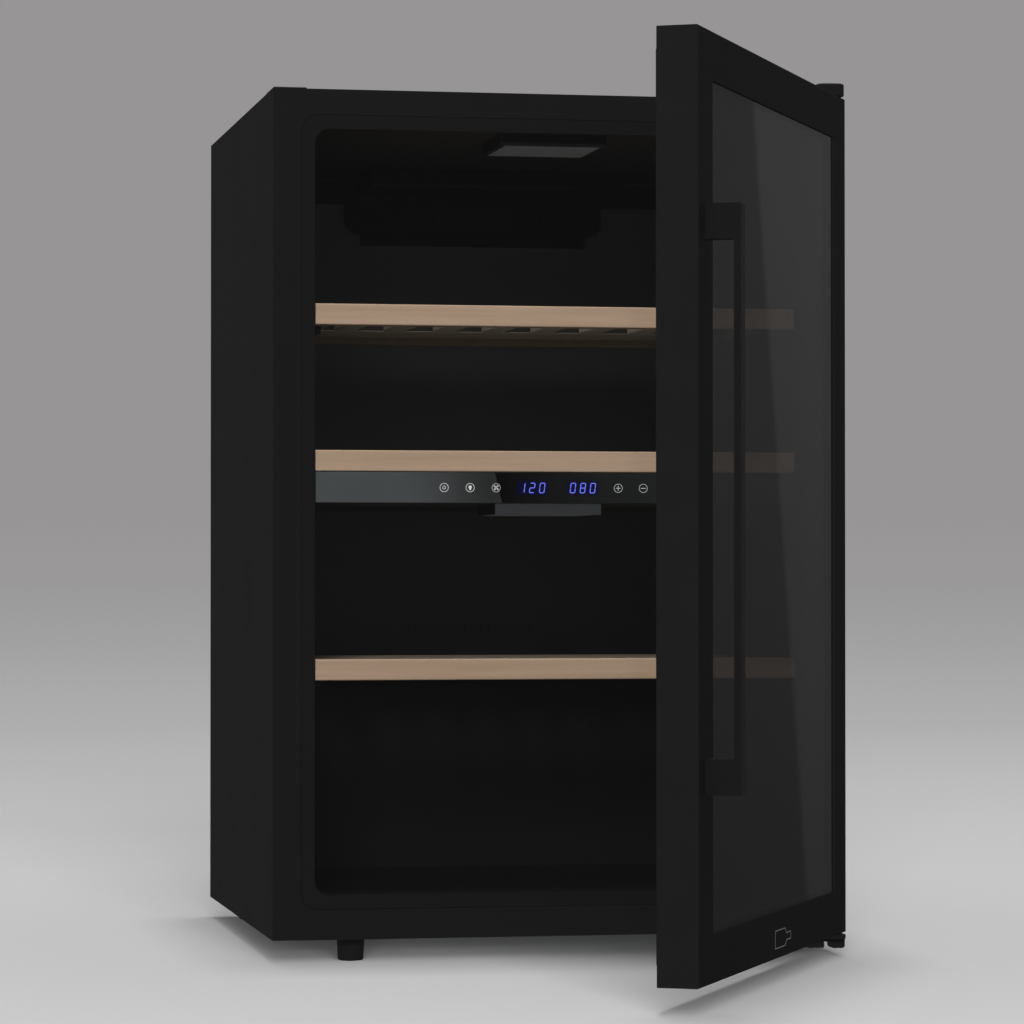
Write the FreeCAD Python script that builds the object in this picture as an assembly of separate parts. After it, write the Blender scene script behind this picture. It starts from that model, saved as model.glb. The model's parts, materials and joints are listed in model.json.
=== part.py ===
import FreeCAD, Part
import math
import os

# Free-standing two-zone wine cooler with a full-height glass door hinged on its right side.
# Row frame, in millimetres: +X to the right along the front, +Y to the back, +Z up.
# The origin is on the floor, at the middle of the cabinet's width, in the plane of its front face.
# The door is modelled shut, in the functions below, and then swung open by REST_OPENING_DEG.

# ---------------------------------------------------------------- driving dimensions
CABINET_WIDTH = 560.0
CABINET_DEPTH = 527.0
CABINET_HEIGHT = 820.0          # side panels, without the feet
FOOT_HEIGHT = 22.0
SHEET = 1.0                     # painted steel panels
HEM = 12.0                      # the side panels turn in behind the back by this much
PRESSING = 2.5                  # depth of the recesses pressed into the back panel
LINER = 2.0                     # formed plastic liner
CONTACT = 0.2                   # clearance between the foam and what it fills up to

OPENING_WIDTH = 478.6
OPENING_BOTTOM = 42.6           # above the cabinet's underside
OPENING_HEIGHT = 739.3
OPENING_RADIUS = 15.0
CAVITY_DEPTH = 475.0
LIP_WIDTH = 13.7                # liner flange round the opening
LIP_FRONT = 0.2
LIP_GAP = 0.05                  # between the flange and the front frame round it
LIP_RADIUS = 18.0
HUMP_FRONT = 352.0              # the liner steps up over the machine room
HUMP_TOP = 256.0                # above the cabinet's underside
HUMP_FOAM = 28.0

EVAPORATOR_RECESS_HALF = 118.0  # a recess in the liner's ceiling, for the evaporator
EVAPORATOR_RECESS_FRONT = 372.0
EVAPORATOR_RECESS_BACK = 465.0
EVAPORATOR_RECESS_RISE = 20.0
FAN_POCKET_RADIUS = 46.0
FAN_POCKET_DEPTH = 22.0         # behind the liner's rear wall
LEDGE_DEPTH = 9.0               # the shelf ledges stand out from the side walls by this much
LEDGE_HEIGHT = 7.0

DOOR_THICKNESS = 37.0
DOOR_GAP = 6.0                  # between the shut door and the cabinet, filled by the gasket
DOOR_TOP_CLEARANCE = 1.2
REST_OPENING_DEG = 61.5
PIVOT_FROM_SIDE = 15.35
PIVOT_FROM_FRONT = 30.3
PIN_RADIUS = 4.0
RUNNING_CLEARANCE = 0.05
PIN_LENGTH = 16.0
BUSH_RADIUS = 6.0
BORDER_SIDE = 47.5
BORDER_END = 42.5
GLASS = 4.0
GLASS_RECESS = 1.8              # the outer glass lies this far behind the door's face
GLASS_SETBACK = 1.5             # the inner glass lies this far behind the door's inner face
GLASS_OVERLAP = 7.5             # the panes reach this far behind the frame's border
GASKET_INSET = 16.0             # from the door's edges
GASKET_WIDTH = 16.0
GASKET_CLEARANCE = 0.4          # to the cabinet's front when the door is shut

HANDLE_INSET = 21.0             # from the door's free edge
HANDLE_WIDTH = 16.0
HANDLE_STANDOFF = 31.5
HANDLE_BAR = 6.0
HANDLE_BOTTOM = 164.0           # above the cabinet's underside
HANDLE_TOP = 668.4
HANDLE_BLOCK = 30.5

SHELF_WIDTH = 476.4
SHELF_DEPTH = 340.0
SHELF_FRONT = 3.0
SHELF_HEIGHT = 20.4
SHELF_RAIL = 19.0
SHELF_LEVELS = {"top": 592.8, "middle": 451.3, "bottom": 249.3}
SLAT_PITCH = 51.0
SLAT_WIDTH = 22.0
SLAT_THICKNESS = 10.0
SLAT_DROP = 3.4                 # the slats lie this far below the rail's top edge
REAR_BOARD = 110.0
LEDGE_BACK = SHELF_FRONT + SHELF_DEPTH - SHELF_RAIL - 2

PANEL_BOTTOM = 421.0            # control panel and zone divider, above the underside
PANEL_HEIGHT = 29.6
PANEL_GLASS = 3.0
PANEL_HOUSING = 17.0

LAMP_WIDTH = 106.8
LAMP_DEPTH = 100.0
LAMP_HEIGHT = 10.0
LAMP_RIM = 5.0                  # housing left round the diffuser
CEILING_LAMP_FRONT = 24.0
LOWER_LAMP_FRONT = 48.0
DIFFUSER = 2.6
DIFFUSER_DROP = 0.6             # the diffusers stand out below the housings by this much
DIFFUSER_LIP = 2.0              # the lower diffuser turns up over the front of its housing

AIR_PANEL_HALF_WIDTH = 194.0
AIR_PANEL = 4.0
AIR_SLOT_PITCH = 9.0
AIR_SLOT_WIDTH = 4.0
AIR_SLOT_HEIGHT = 9.0
FOOT_RADIUS = 13.5
FOOT_TOE_RADIUS = 12.3
FOOT_GAP = 0.4                  # between a levelling foot and the base plate
STUD_RADIUS = 4.0
STUD_LENGTH = 16.0
FRONT_FOOT_X = 200.5
FRONT_FOOT_Y = 26.0
REAR_FOOT_X = 240.0
REAR_FOOT_Y = 495.0

VENT_COLUMN_PITCH = 72.0        # slots of the machine room's rear cover
VENT_ROW_PITCH = 19.0
VENT_LOWEST = 58.0
VENT_WIDTH = 54.0
VENT_HEIGHT = 6.0
INLET_X = -3 * VENT_COLUMN_PITCH
INLET_Z = 78.0
INLET_HALF_WIDTH = 16.0
INLET_HALF_HEIGHT = 11.0
INLET_DEPTH = 20.0

# ---------------------------------------------------------------- derived places
HALF = CABINET_WIDTH / 2
Z0 = FOOT_HEIGHT                # the cabinet's underside
Z1 = Z0 + CABINET_HEIGHT        # the cabinet's top
OPEN_X = OPENING_WIDTH / 2
OPEN_Z0 = Z0 + OPENING_BOTTOM
OPEN_Z1 = OPEN_Z0 + OPENING_HEIGHT
PIVOT_X = HALF - PIVOT_FROM_SIDE
PIVOT_Y = -PIVOT_FROM_FRONT
DOOR_INNER = -DOOR_GAP
DOOR_OUTER = -DOOR_GAP - DOOR_THICKNESS
DOOR_Z0 = Z0 + DOOR_TOP_CLEARANCE
DOOR_Z1 = Z1 - DOOR_TOP_CLEARANCE
ROOM_FRONT = HUMP_FRONT + LINER + HUMP_FOAM
ROOM_TOP = Z0 + HUMP_TOP - LINER - HUMP_FOAM
BASE_TOP = Z0 + 1.5 * SHEET
UP = FreeCAD.Vector(0, 0, 1)


# ---------------------------------------------------------------- shape helpers
def block(x0, x1, y0, y1, z0, z1):
    return Part.makeBox(x1 - x0, y1 - y0, z1 - z0, FreeCAD.Vector(x0, y0, z0))


def rod(radius, start, direction, length):
    return Part.makeCylinder(radius, length, FreeCAD.Vector(*start), FreeCAD.Vector(*direction))


def edges_along(shape, axis, keep=lambda p: True):
    """The straight edges parallel to an axis (0, 1 or 2) whose middle point passes keep."""
    found = []
    for edge in shape.Edges:
        if not isinstance(edge.Curve, Part.Line):
            continue
        direction = edge.Curve.Direction
        if abs(abs(direction[axis]) - 1) < 1e-6 and keep(edge.CenterOfMass):
            found.append(edge)
    return found


def rounded(shape, radius, axis, keep=lambda p: True):
    return shape.makeFillet(radius, edges_along(shape, axis, keep))


def plate(half_x, z0, z1, y0, y1, radius):
    """A plate facing the front, with its four corners rounded."""
    return rounded(block(-half_x, half_x, y0, y1, z0, z1), radius, 1)


def joined(pieces):
    solid = pieces[0]
    for piece in pieces[1:]:
        solid = solid.fuse(piece)
    return solid.removeSplitter()


def without(solid, cutters):
    for cutter in cutters:
        solid = solid.cut(cutter)
    return solid


def group(solids):
    return Part.makeCompound(solids)


# ---------------------------------------------------------------- cabinet shell
def side_panel(side):
    outer = side * HALF
    inner = side * (HALF - SHEET)
    back = CABINET_DEPTH
    sheet = block(min(outer, inner), max(outer, inner), SHEET, back, Z0, Z1)
    hem_x = side * (HALF - HEM)
    hem = block(min(outer, hem_x), max(outer, hem_x), back - SHEET, back, Z0, Z1)
    return joined([sheet, hem])


def top_panel():
    inside = HALF - SHEET
    return block(-inside, inside, SHEET, CABINET_DEPTH - SHEET, Z1 - SHEET, Z1)


def back_panel():
    """The rear sheet, stiffened by three long pressed recesses."""
    inside = HALF - HEM
    back = CABINET_DEPTH
    panel = block(-inside, inside, back - SHEET, back, ROOM_TOP + 1, Z1 - SHEET)
    low, high = ROOM_TOP + 80, Z1 - 80
    pressed, hollows = [], []
    for x in (-160, 0, 160):
        skin = block(x - 30, x + 30, back - SHEET - PRESSING, back, low, high)
        hollow = block(x - 29, x + 29, back - PRESSING, back + 1, low + 1, high - 1)
        pressed.append(rounded(skin, 20, 1))
        hollows.append(rounded(hollow, 19, 1))
    return without(joined([panel] + pressed), hollows)


def front_frame():
    lip_x = OPEN_X + LIP_WIDTH
    ring = block(-HALF, HALF, 0, SHEET, Z0, Z1)
    hole = plate(lip_x, OPEN_Z0 - LIP_WIDTH, OPEN_Z1 + LIP_WIDTH, -1, SHEET + 1, LIP_RADIUS)
    return ring.cut(hole)


def cavity(grow=0.0):
    """The space inside the liner, or inside its outer skin when grown by the liner's thickness."""
    back = CAVITY_DEPTH + grow
    room = plate(OPEN_X + grow, OPEN_Z0 - grow, OPEN_Z1 + grow, -1, back, OPENING_RADIUS + grow)
    hump = block(-HALF, HALF, HUMP_FRONT + grow, back + 1, Z0, Z0 + HUMP_TOP - grow)
    hump = rounded(hump, 25, 0, lambda p: p.y < HUMP_FRONT + grow + 1 and p.z > Z0 + 100)
    room = room.cut(hump)
    return joined([room, evaporator_recess(grow), fan_pocket(grow)])


def evaporator_recess(grow=0.0):
    half = EVAPORATOR_RECESS_HALF + grow
    rise = EVAPORATOR_RECESS_RISE
    return block(-half, half, EVAPORATOR_RECESS_FRONT - grow, EVAPORATOR_RECESS_BACK + grow,
                 OPEN_Z1 - rise, OPEN_Z1 + rise + grow)


def fan_pocket(grow=0.0):
    start = CAVITY_DEPTH - 20
    length = 20 + FAN_POCKET_DEPTH + grow
    return rod(FAN_POCKET_RADIUS + grow, (0, start, ZONE_FAN_Z), (0, 1, 0), length)


def ledges():
    """Shelf ledges formed in the liner's side walls, one pair under each shelf."""
    found = []
    for level in (SHELF_LEVELS["top"], SHELF_LEVELS["bottom"]):
        z = Z0 + level - 0.3
        for side in (-1, 1):
            x0, x1 = sorted((side * (OPEN_X + LINER / 2), side * (OPEN_X - LEDGE_DEPTH)))
            ledge = block(x0, x1, SHELF_FRONT + SHELF_RAIL + 2, LEDGE_BACK, z - LEDGE_HEIGHT, z)
            found.append(rounded(ledge, 3, 0))
    return found


def inner_liner():
    skin = cavity(LINER)
    reach = LIP_WIDTH - LIP_GAP
    lip = plate(OPEN_X + reach, OPEN_Z0 - reach, OPEN_Z1 + reach, LIP_FRONT, 3, LIP_RADIUS)
    bevel = [e for e in lip.Edges if abs(e.CenterOfMass.y - LIP_FRONT) < 0.01]
    lip = lip.makeChamfer(0.5, bevel)
    ahead = block(-HALF, HALF, -5, LIP_FRONT, 0, Z1 + 5)
    solid = joined([skin.cut(ahead), lip]).cut(cavity())
    return joined([solid] + ledges())


def insulation_foam():
    gap = CONTACT
    inside = HALF - SHEET - gap
    back = CABINET_DEPTH - SHEET - PRESSING - gap
    foam = block(-inside, inside, 3.2, back, BASE_TOP + gap, Z1 - SHEET - gap)
    room = block(-HALF, HALF, ROOM_FRONT, CABINET_DEPTH + 5, 0, ROOM_TOP + SHEET + gap)
    return foam.cut(cavity(LINER + gap)).cut(room)


def base_plate():
    inside = HALF - SHEET
    return block(-inside, inside, SHEET, CABINET_DEPTH - SHEET, Z0, BASE_TOP)


def machine_room_wall():
    inside = HALF - SHEET
    upright = block(-inside, inside, ROOM_FRONT, ROOM_FRONT + SHEET, BASE_TOP, ROOM_TOP + SHEET)
    roof = block(-inside, inside, ROOM_FRONT, CABINET_DEPTH - SHEET, ROOM_TOP, ROOM_TOP + SHEET)
    return joined([upright, roof])


def machine_room_grille():
    inside = HALF - HEM
    back = CABINET_DEPTH
    cover = block(-inside, inside, back - 2, back, BASE_TOP + 1, ROOM_TOP - 1)
    slots = []
    for column in range(-3, 4):
        for row in range(9):
            if column == -3 and row < 4:
                continue
            x, z = column * VENT_COLUMN_PITCH, VENT_LOWEST + row * VENT_ROW_PITCH
            half = VENT_WIDTH / 2
            slot = block(x - half, x + half, back - 4, back + 1, z, z + VENT_HEIGHT)
            slots.append(rounded(slot, VENT_HEIGHT / 2 - 0.1, 1))
    return cover.cut(group(slots))


# ---------------------------------------------------------------- machine room
COMPRESSOR_X = 130.0
COMPRESSOR_Y = 455.0
MOUNT_Z = 14.0                  # the compressor's feet stand on rubbers this tall


def compressor():
    x, y, z = COMPRESSOR_X, COMPRESSOR_Y, BASE_TOP + MOUNT_Z
    shell = block(x - 88, x + 88, y - 52, y + 52, z + 6, z + 140)
    shell = rounded(shell, 48, 2)
    rims = [e for e in shell.Edges if abs(e.CenterOfMass.z - z - 140) < 0.01]
    rims += [e for e in shell.Edges if abs(e.CenterOfMass.z - z - 6) < 0.01]
    shell = shell.makeFillet(22, rims)
    seam = rounded(block(x - 90, x + 90, y - 54, y + 54, z + 78, z + 82), 50, 2)
    foot = rounded(block(x - 100, x + 100, y - 55, y + 55, z, z + 3), 10, 2)
    saddle = block(x - 60, x + 60, y - 30, y + 30, z, z + 20)
    stub = rod(4, (x - 40, y, z + 120), (0, 0, 1), 32)
    holes = [rod(4.5, (px, py, z - 5), (0, 0, 1), 20) for px, py in mount_places()]
    return without(joined([shell, seam, foot, saddle, stub]), holes)


def mount_places():
    return [
        (COMPRESSOR_X + i * 88, COMPRESSOR_Y + j * 43) for i in (-1, 1) for j in (-1, 1)
    ]


def compressor_mounts():
    rubbers = []
    for x, y in mount_places():
        foot = rod(11, (x, y, BASE_TOP), (0, 0, 1), MOUNT_Z)
        neck = rod(4.3, (x, y, BASE_TOP + MOUNT_Z), (0, 0, 1), 5)
        washer = rod(8, (x, y, BASE_TOP + MOUNT_Z + 3), (0, 0, 1), 3)
        rubbers.append(joined([foot, neck, washer]))
    return group(rubbers)


def compressor_terminal_cover():
    x = COMPRESSOR_X - 90.3
    box = block(x - 34, x, COMPRESSOR_Y - 30, COMPRESSOR_Y + 30, 70, 128)
    return rounded(box, 5, 0)


def evaporation_tray():
    x, y = COMPRESSOR_X, COMPRESSOR_Y
    z = BASE_TOP + MOUNT_Z + 140.3
    tray = rounded(block(x - 80, x + 80, y - 48, y + 48, z, z + 26), 12, 2)
    hollow = rounded(block(x - 78, x + 78, y - 46, y + 46, z + 2, z + 27), 10, 2)
    post = rod(6.5, (x - 40, y, z), (0, 0, 1), 20)
    bore = rod(4.6, (x - 40, y, z - 5), (0, 0, 1), 40)
    return joined([tray.cut(hollow), post]).cut(bore)


def condenser_coil():
    """A serpentine of straight runs joined by half-turn bends, in one upright plane."""
    tube, pitch, runs = 2.4, 24.0, 7
    x0, x1, y, low = -240.0, -40.0, 470.0, 60.0
    pieces = []
    for i in range(runs):
        z = low + i * pitch
        pieces.append(rod(tube, (x0, y, z), (1, 0, 0), x1 - x0))
        if i == runs - 1:
            continue
        right = i % 2 == 0
        bend = Part.makeTorus(
            pitch / 2, tube, FreeCAD.Vector(x1 if right else x0, y, z + pitch / 2),
            FreeCAD.Vector(0, 1, 0),
        )
        edge = x1 if right else x0
        keep = block(edge, edge + 30, y - 5, y + 5, z - 5, z + pitch + 5)
        if not right:
            keep = block(edge - 30, edge, y - 5, y + 5, z - 5, z + pitch + 5)
        pieces.append(bend.common(keep))
    straps = [block(x - 4, x + 4, y + 2.2, y + 3.8, low - 8, low + pitch * runs) for x in (-190, -90)]
    return joined(pieces + straps)


def power_inlet():
    """A three-pin appliance inlet in the rear cover's blank corner."""
    back = CABINET_DEPTH
    x, z = INLET_X, INLET_Z
    across, up = INLET_HALF_WIDTH, INLET_HALF_HEIGHT
    flange = block(x - across - 9, x + across + 9, back, back + 1.2, z - up - 3, z + up + 3)
    flange = rounded(flange, 4, 1)
    body = block(x - across, x + across, back - INLET_DEPTH, back, z - up, z + up)
    mouth = block(x - across + 4, x + across - 4, back - 14, back + 3, z - up + 3, z + up - 3)
    mouth = rounded(mouth, 3, 1)
    shell = joined([flange, body]).cut(mouth)
    pins = [block(x + dx - 1, x + dx + 1, back - 15, back - 3, z + dz - 2, z + dz + 2)
            for dx, dz in ((-7, -2), (0, 2), (7, -2))]
    return joined([shell] + pins)


def inlet_cutout():
    across, up = INLET_HALF_WIDTH + 0.3, INLET_HALF_HEIGHT + 0.3
    return block(INLET_X - across, INLET_X + across, CABINET_DEPTH - 5, CABINET_DEPTH + 1,
                 INLET_Z - up, INLET_Z + up)


def main_control_box():
    box = block(-262, -190, ROOM_FRONT + SHEET, ROOM_FRONT + 39, 110, 215)
    return rounded(box, 4, 1)


# ---------------------------------------------------------------- feet
def foot(x, y, height):
    """A round foot with a slightly tapered body and a rounded toe."""
    body = Part.makeCone(FOOT_TOE_RADIUS, FOOT_RADIUS, height, FreeCAD.Vector(x, y, 0), UP)
    toe = [e for e in body.Edges if abs(e.CenterOfMass.z) < 0.01 and e.Length > 10]
    return body.makeFillet(2.0, toe)


def front_foot(side):
    """A levelling foot: its stud stands in a well through the base plate."""
    x, y = side * FRONT_FOOT_X, FRONT_FOOT_Y
    stud = rod(STUD_RADIUS, (x, y, FOOT_HEIGHT / 2), (0, 0, 1), FOOT_HEIGHT / 2 + STUD_LENGTH)
    return joined([foot(x, y, FOOT_HEIGHT - FOOT_GAP), stud])


def foot_well(side):
    """The clear well through the base plate and the foam, round a levelling foot's stud."""
    return rod(STUD_RADIUS + 1.5, (side * FRONT_FOOT_X, FRONT_FOOT_Y, Z0 - 1), (0, 0, 1),
               STUD_LENGTH + 3)


def rear_feet():
    return group([foot(side * REAR_FOOT_X, REAR_FOOT_Y, FOOT_HEIGHT) for side in (-1, 1)])


# ---------------------------------------------------------------- zone divider and controls
PANEL_Z0 = Z0 + PANEL_BOTTOM
PANEL_Z1 = PANEL_Z0 + PANEL_HEIGHT
PANEL_FRONT = 2.0
PANEL_BACK = PANEL_FRONT + PANEL_GLASS + PANEL_HOUSING


def zone_divider():
    half = OPEN_X - 0.8
    slab = block(-half, half, PANEL_BACK, CAVITY_DEPTH - AIR_PANEL, PANEL_Z0, PANEL_Z1)
    return rounded(slab, 3, 0)


def control_panel_glass():
    half = SHELF_WIDTH / 2
    strip = block(-half, half, PANEL_FRONT, PANEL_FRONT + PANEL_GLASS, PANEL_Z0, PANEL_Z1)
    front = [e for e in strip.Edges if abs(e.CenterOfMass.y - PANEL_FRONT) < 0.01]
    return strip.makeChamfer(0.4, front)


def control_panel_housing():
    half = SHELF_WIDTH / 2
    front = PANEL_FRONT + PANEL_GLASS
    body = block(-half, half, front, PANEL_BACK, PANEL_Z0, PANEL_Z1)
    pocket = block(-half + 3, half - 3, front - 1, PANEL_BACK - 3, PANEL_Z0 + 3, PANEL_Z1 - 3)
    return body.cut(pocket)


def control_board():
    front = PANEL_FRONT + PANEL_GLASS + 7
    return block(-130, 130, front, front + 1.6, PANEL_Z0 + 4, PANEL_Z1 - 4)


def display_modules():
    """Two digit modules on the board, behind the glass."""
    front = PANEL_FRONT + PANEL_GLASS + 0.2
    back = PANEL_FRONT + PANEL_GLASS + 7
    return group([
        block(x - 18, x + 18, front, back, PANEL_Z0 + 6, PANEL_Z1 - 6) for x in (-24, 25)
    ])


def lamp_places():
    """(front, top, lip) of the ceiling lamp and of the one under the zone divider."""
    return [(CEILING_LAMP_FRONT, OPEN_Z1, 0.0), (LOWER_LAMP_FRONT, PANEL_Z0, DIFFUSER_LIP)]


def lamp_housings():
    housings = []
    for front, top, lip in lamp_places():
        half = LAMP_WIDTH / 2
        low = top - LAMP_HEIGHT
        shell = block(-half, half, front + lip, front + LAMP_DEPTH, low, top)
        shell = rounded(shell, 2, 2, lambda p: p.y > front + lip + 1 or lip == 0)
        pocket = block(-half + LAMP_RIM + 1, half - LAMP_RIM - 1, front + LAMP_RIM,
                       front + LAMP_DEPTH - LAMP_RIM, low - 1, top - 3)
        housings.append(shell.cut(pocket))
    return group(housings)


def lamp_diffusers():
    """A flat lens under each lamp. The lower one also turns up over its housing's front."""
    lenses = []
    for front, top, lip in lamp_places():
        half = LAMP_WIDTH / 2
        inside = half - LAMP_RIM - 1
        low = top - LAMP_HEIGHT - DIFFUSER_DROP
        lens = block(-inside, inside, front + LAMP_RIM, front + LAMP_DEPTH - LAMP_RIM,
                     low, low + DIFFUSER)
        under = [e for e in lens.Edges if abs(e.CenterOfMass.z - low) < 0.01]
        if lip == 0:
            lenses.append(lens.makeFillet(0.5, under))
            continue
        upright = block(-half, half, front, front + lip, low, top)
        upright = rounded(upright, lip - 0.2, 2, lambda p: p.y < front + 0.1)
        tongue = block(-inside, inside, front + lip / 2, front + LAMP_RIM + 1,
                       low, low + DIFFUSER_DROP)
        lenses.append(joined([lens, tongue, upright]))
    return group(lenses)


# ---------------------------------------------------------------- air system
COVER_HALF = 140.5
COVER_FRONT = 455.0
COVER_BOTTOM = Z0 + 721.0
LEDGE_HALF = 127.5
LEDGE_FRONT = 362.0
LEDGE_BOTTOM = Z0 + 762.5
STAY_FRONT = 457.0
STAY = 4.0
STAY_LIP = 8.0
STAY_BOTTOM = Z0 + 754.0
STAY_HEIGHT = 23.0
ZONE_FAN_Z = Z0 + 345.0
EVAPORATOR_FAN_X = 72.0
EVAPORATOR_FAN_Y = 418.0


def evaporator_cover():
    """A tray under the ceiling, and a plate hanging from its back edge down the rear wall."""
    back = CAVITY_DEPTH - AIR_PANEL
    hanging = block(-COVER_HALF, COVER_HALF, COVER_FRONT, back, COVER_BOTTOM, OPEN_Z1)
    hanging = rounded(hanging, 15, 1, lambda p: p.z < COVER_BOTTOM + 1)
    tray = block(-LEDGE_HALF, LEDGE_HALF, LEDGE_FRONT, COVER_FRONT, LEDGE_BOTTOM, OPEN_Z1)
    tray = rounded(tray, 3, 0, lambda p: p.y < LEDGE_FRONT + 1)
    hollow = block(-LEDGE_HALF + 2, LEDGE_HALF - 2, LEDGE_FRONT + 2, COVER_FRONT + 1,
                   LEDGE_BOTTOM + 2, OPEN_Z1 + 1)
    behind = block(-COVER_HALF + 2, COVER_HALF - 2, COVER_FRONT + 2, back + 1,
                   COVER_BOTTOM + 2, OPEN_Z1 - 20)
    ribs = [block(-LEDGE_HALF + 1, LEDGE_HALF - 1, LEDGE_FRONT - 0.8, LEDGE_FRONT + 1,
                  LEDGE_BOTTOM + rise, LEDGE_BOTTOM + rise + 1.6) for rise in (3, 9, 15)]
    slots = []
    for i in range(-9, 10):
        slot = block(i * 8 - 1.4, i * 8 + 1.4, COVER_FRONT - 1, COVER_FRONT + 3,
                     COVER_BOTTOM + 12, COVER_BOTTOM + 30)
        slots.append(slot)
    shell = without(joined([hanging, tray] + ribs), [hollow, behind])
    return shell.cut(group(slots))


def evaporator():
    """Finned block: plates across two copper runs."""
    fins = []
    for i in range(19):
        x = -108 + i * 7.0
        fins.append(block(x, x + 0.6, 378, 448, OPEN_Z1 - 14, OPEN_Z1 + 17))
    runs = [rod(3.5, (-112, y, z), (1, 0, 0), 134)
            for y in (396, 430) for z in (OPEN_Z1 - 6, OPEN_Z1 + 9)]
    return joined(fins + runs)


def evaporator_fan_motor():
    x, y = EVAPORATOR_FAN_X, EVAPORATOR_FAN_Y
    can = rod(15, (x, y, OPEN_Z1 + 4), (0, 0, 1), 16)
    shaft = rod(1.5, (x, y, OPEN_Z1 - 9), (0, 0, 1), 14)
    return joined([can, shaft])


def rotor(radius, height, hub, blades, bore):
    """A fan wheel about +Z at the origin: a hub, a thin web and straight pitched blades."""
    solid = Part.makeCylinder(hub, height)
    for i in range(blades):
        blade = Part.makeBox(radius - hub + 1, 1.2, height - 1, FreeCAD.Vector(hub - 1, -0.6, 0.5))
        blade.rotate(FreeCAD.Vector(hub, 0, height / 2), FreeCAD.Vector(1, 0, 0), 32)
        blade.rotate(FreeCAD.Vector(0, 0, 0), UP, i * 360 / blades)
        solid = solid.fuse(blade)
    return solid.cut(Part.makeCylinder(bore, height * 3, FreeCAD.Vector(0, 0, -height)))


def evaporator_fan_rotor():
    wheel = rotor(26, 9, 10, 7, 1.5 + RUNNING_CLEARANCE)
    wheel.translate(FreeCAD.Vector(EVAPORATOR_FAN_X, EVAPORATOR_FAN_Y, OPEN_Z1 - 8.5))
    return wheel


def zone_fan_motor():
    can = rod(16, (0, CAVITY_DEPTH + 9, ZONE_FAN_Z), (0, 1, 0), 12)
    shaft = rod(1.5, (0, CAVITY_DEPTH - 3, ZONE_FAN_Z), (0, 1, 0), 13)
    arms = [block(-45.5, 45.5, CAVITY_DEPTH + 14, CAVITY_DEPTH + 18, ZONE_FAN_Z - 3, ZONE_FAN_Z + 3)]
    return joined([can, shaft] + arms)


def zone_fan_rotor():
    wheel = rotor(38, 9, 13, 7, 1.5 + RUNNING_CLEARANCE)
    wheel.rotate(FreeCAD.Vector(0, 0, 0), FreeCAD.Vector(1, 0, 0), -90)
    wheel.translate(FreeCAD.Vector(0, CAVITY_DEPTH - 2, ZONE_FAN_Z))
    return wheel


def cover_stays():
    """Two short stays that carry the evaporator cover from the liner's side walls."""
    stays = []
    room = cavity(-0.3)
    for side in (-1, 1):
        x0, x1 = sorted((side * (COVER_HALF + 0.05), side * (OPEN_X + 1)))
        upright = block(x0, x1, STAY_FRONT, STAY_FRONT + STAY, STAY_BOTTOM, STAY_BOTTOM + STAY_HEIGHT)
        lip = block(x0, x1, STAY_FRONT - STAY_LIP, STAY_FRONT + 1, STAY_BOTTOM - 2, STAY_BOTTOM + 1)
        stays.append(joined([upright, lip]).common(room))
    return group(stays)


def drip_channel():
    back = CAVITY_DEPTH - AIR_PANEL
    low, high = Z0 + 709, Z0 + 720.8
    strip = block(-117, 117, back - 4, back, low, high)
    trough = block(-115, 115, back - 3, back - 1, low + 2, high + 1)
    ends = [block(x - 3, x + 3, back - 9, back, low - 1, high) for x in (-120, 120)]
    return joined([strip.cut(trough)] + ends)


def air_panel(low, high, slot_low):
    front = CAVITY_DEPTH - AIR_PANEL
    half = AIR_PANEL_HALF_WIDTH
    panel = rounded(block(-half, half, front, CAVITY_DEPTH, low, high), 6, 1)
    slots = []
    for i in range(-8, 9):
        x, w = i * AIR_SLOT_PITCH, AIR_SLOT_WIDTH / 2
        slot = block(x - w, x + w, front - 1, CAVITY_DEPTH + 1, slot_low, slot_low + AIR_SLOT_HEIGHT)
        slots.append(slot)
    return panel.cut(group(slots))


def upper_air_panel():
    panel = air_panel(PANEL_Z1 + 1.5, Z0 + 766, Z0 + 728)
    return panel.cut(block(-COVER_HALF, COVER_HALF, COVER_FRONT, CAVITY_DEPTH + 1, COVER_BOTTOM, Z1))


def lower_air_panel():
    panel = air_panel(Z0 + 281, PANEL_Z0 - 1.5, Z0 + 288)
    return panel.cut(rod(40, (0, CAVITY_DEPTH - 3, ZONE_FAN_Z), (0, 1, 0), 10))


def temperature_sensors():
    """One probe in each zone, clipped to the right-hand wall."""
    probes = []
    for z in (Z0 + 690, Z0 + 390):
        clip = rounded(block(OPEN_X - 8, OPEN_X, 430, 452, z, z + 12), 2, 1)
        bead = rod(2.5, (OPEN_X - 12, 441, z - 6), (0, 0, 1), 24)
        neck = block(OPEN_X - 12, OPEN_X - 7, 439, 443, z + 4, z + 8)
        probes.append(joined([clip, bead, neck]))
    return group(probes)


# ---------------------------------------------------------------- shelves
def shelf_front_rail(level):
    half = SHELF_WIDTH / 2
    z = Z0 + level
    rail = block(-half, half, SHELF_FRONT, SHELF_FRONT + SHELF_RAIL, z, z + SHELF_HEIGHT)
    return rounded(rail, 1.5, 0, lambda p: p.y < SHELF_FRONT + 1)


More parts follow.
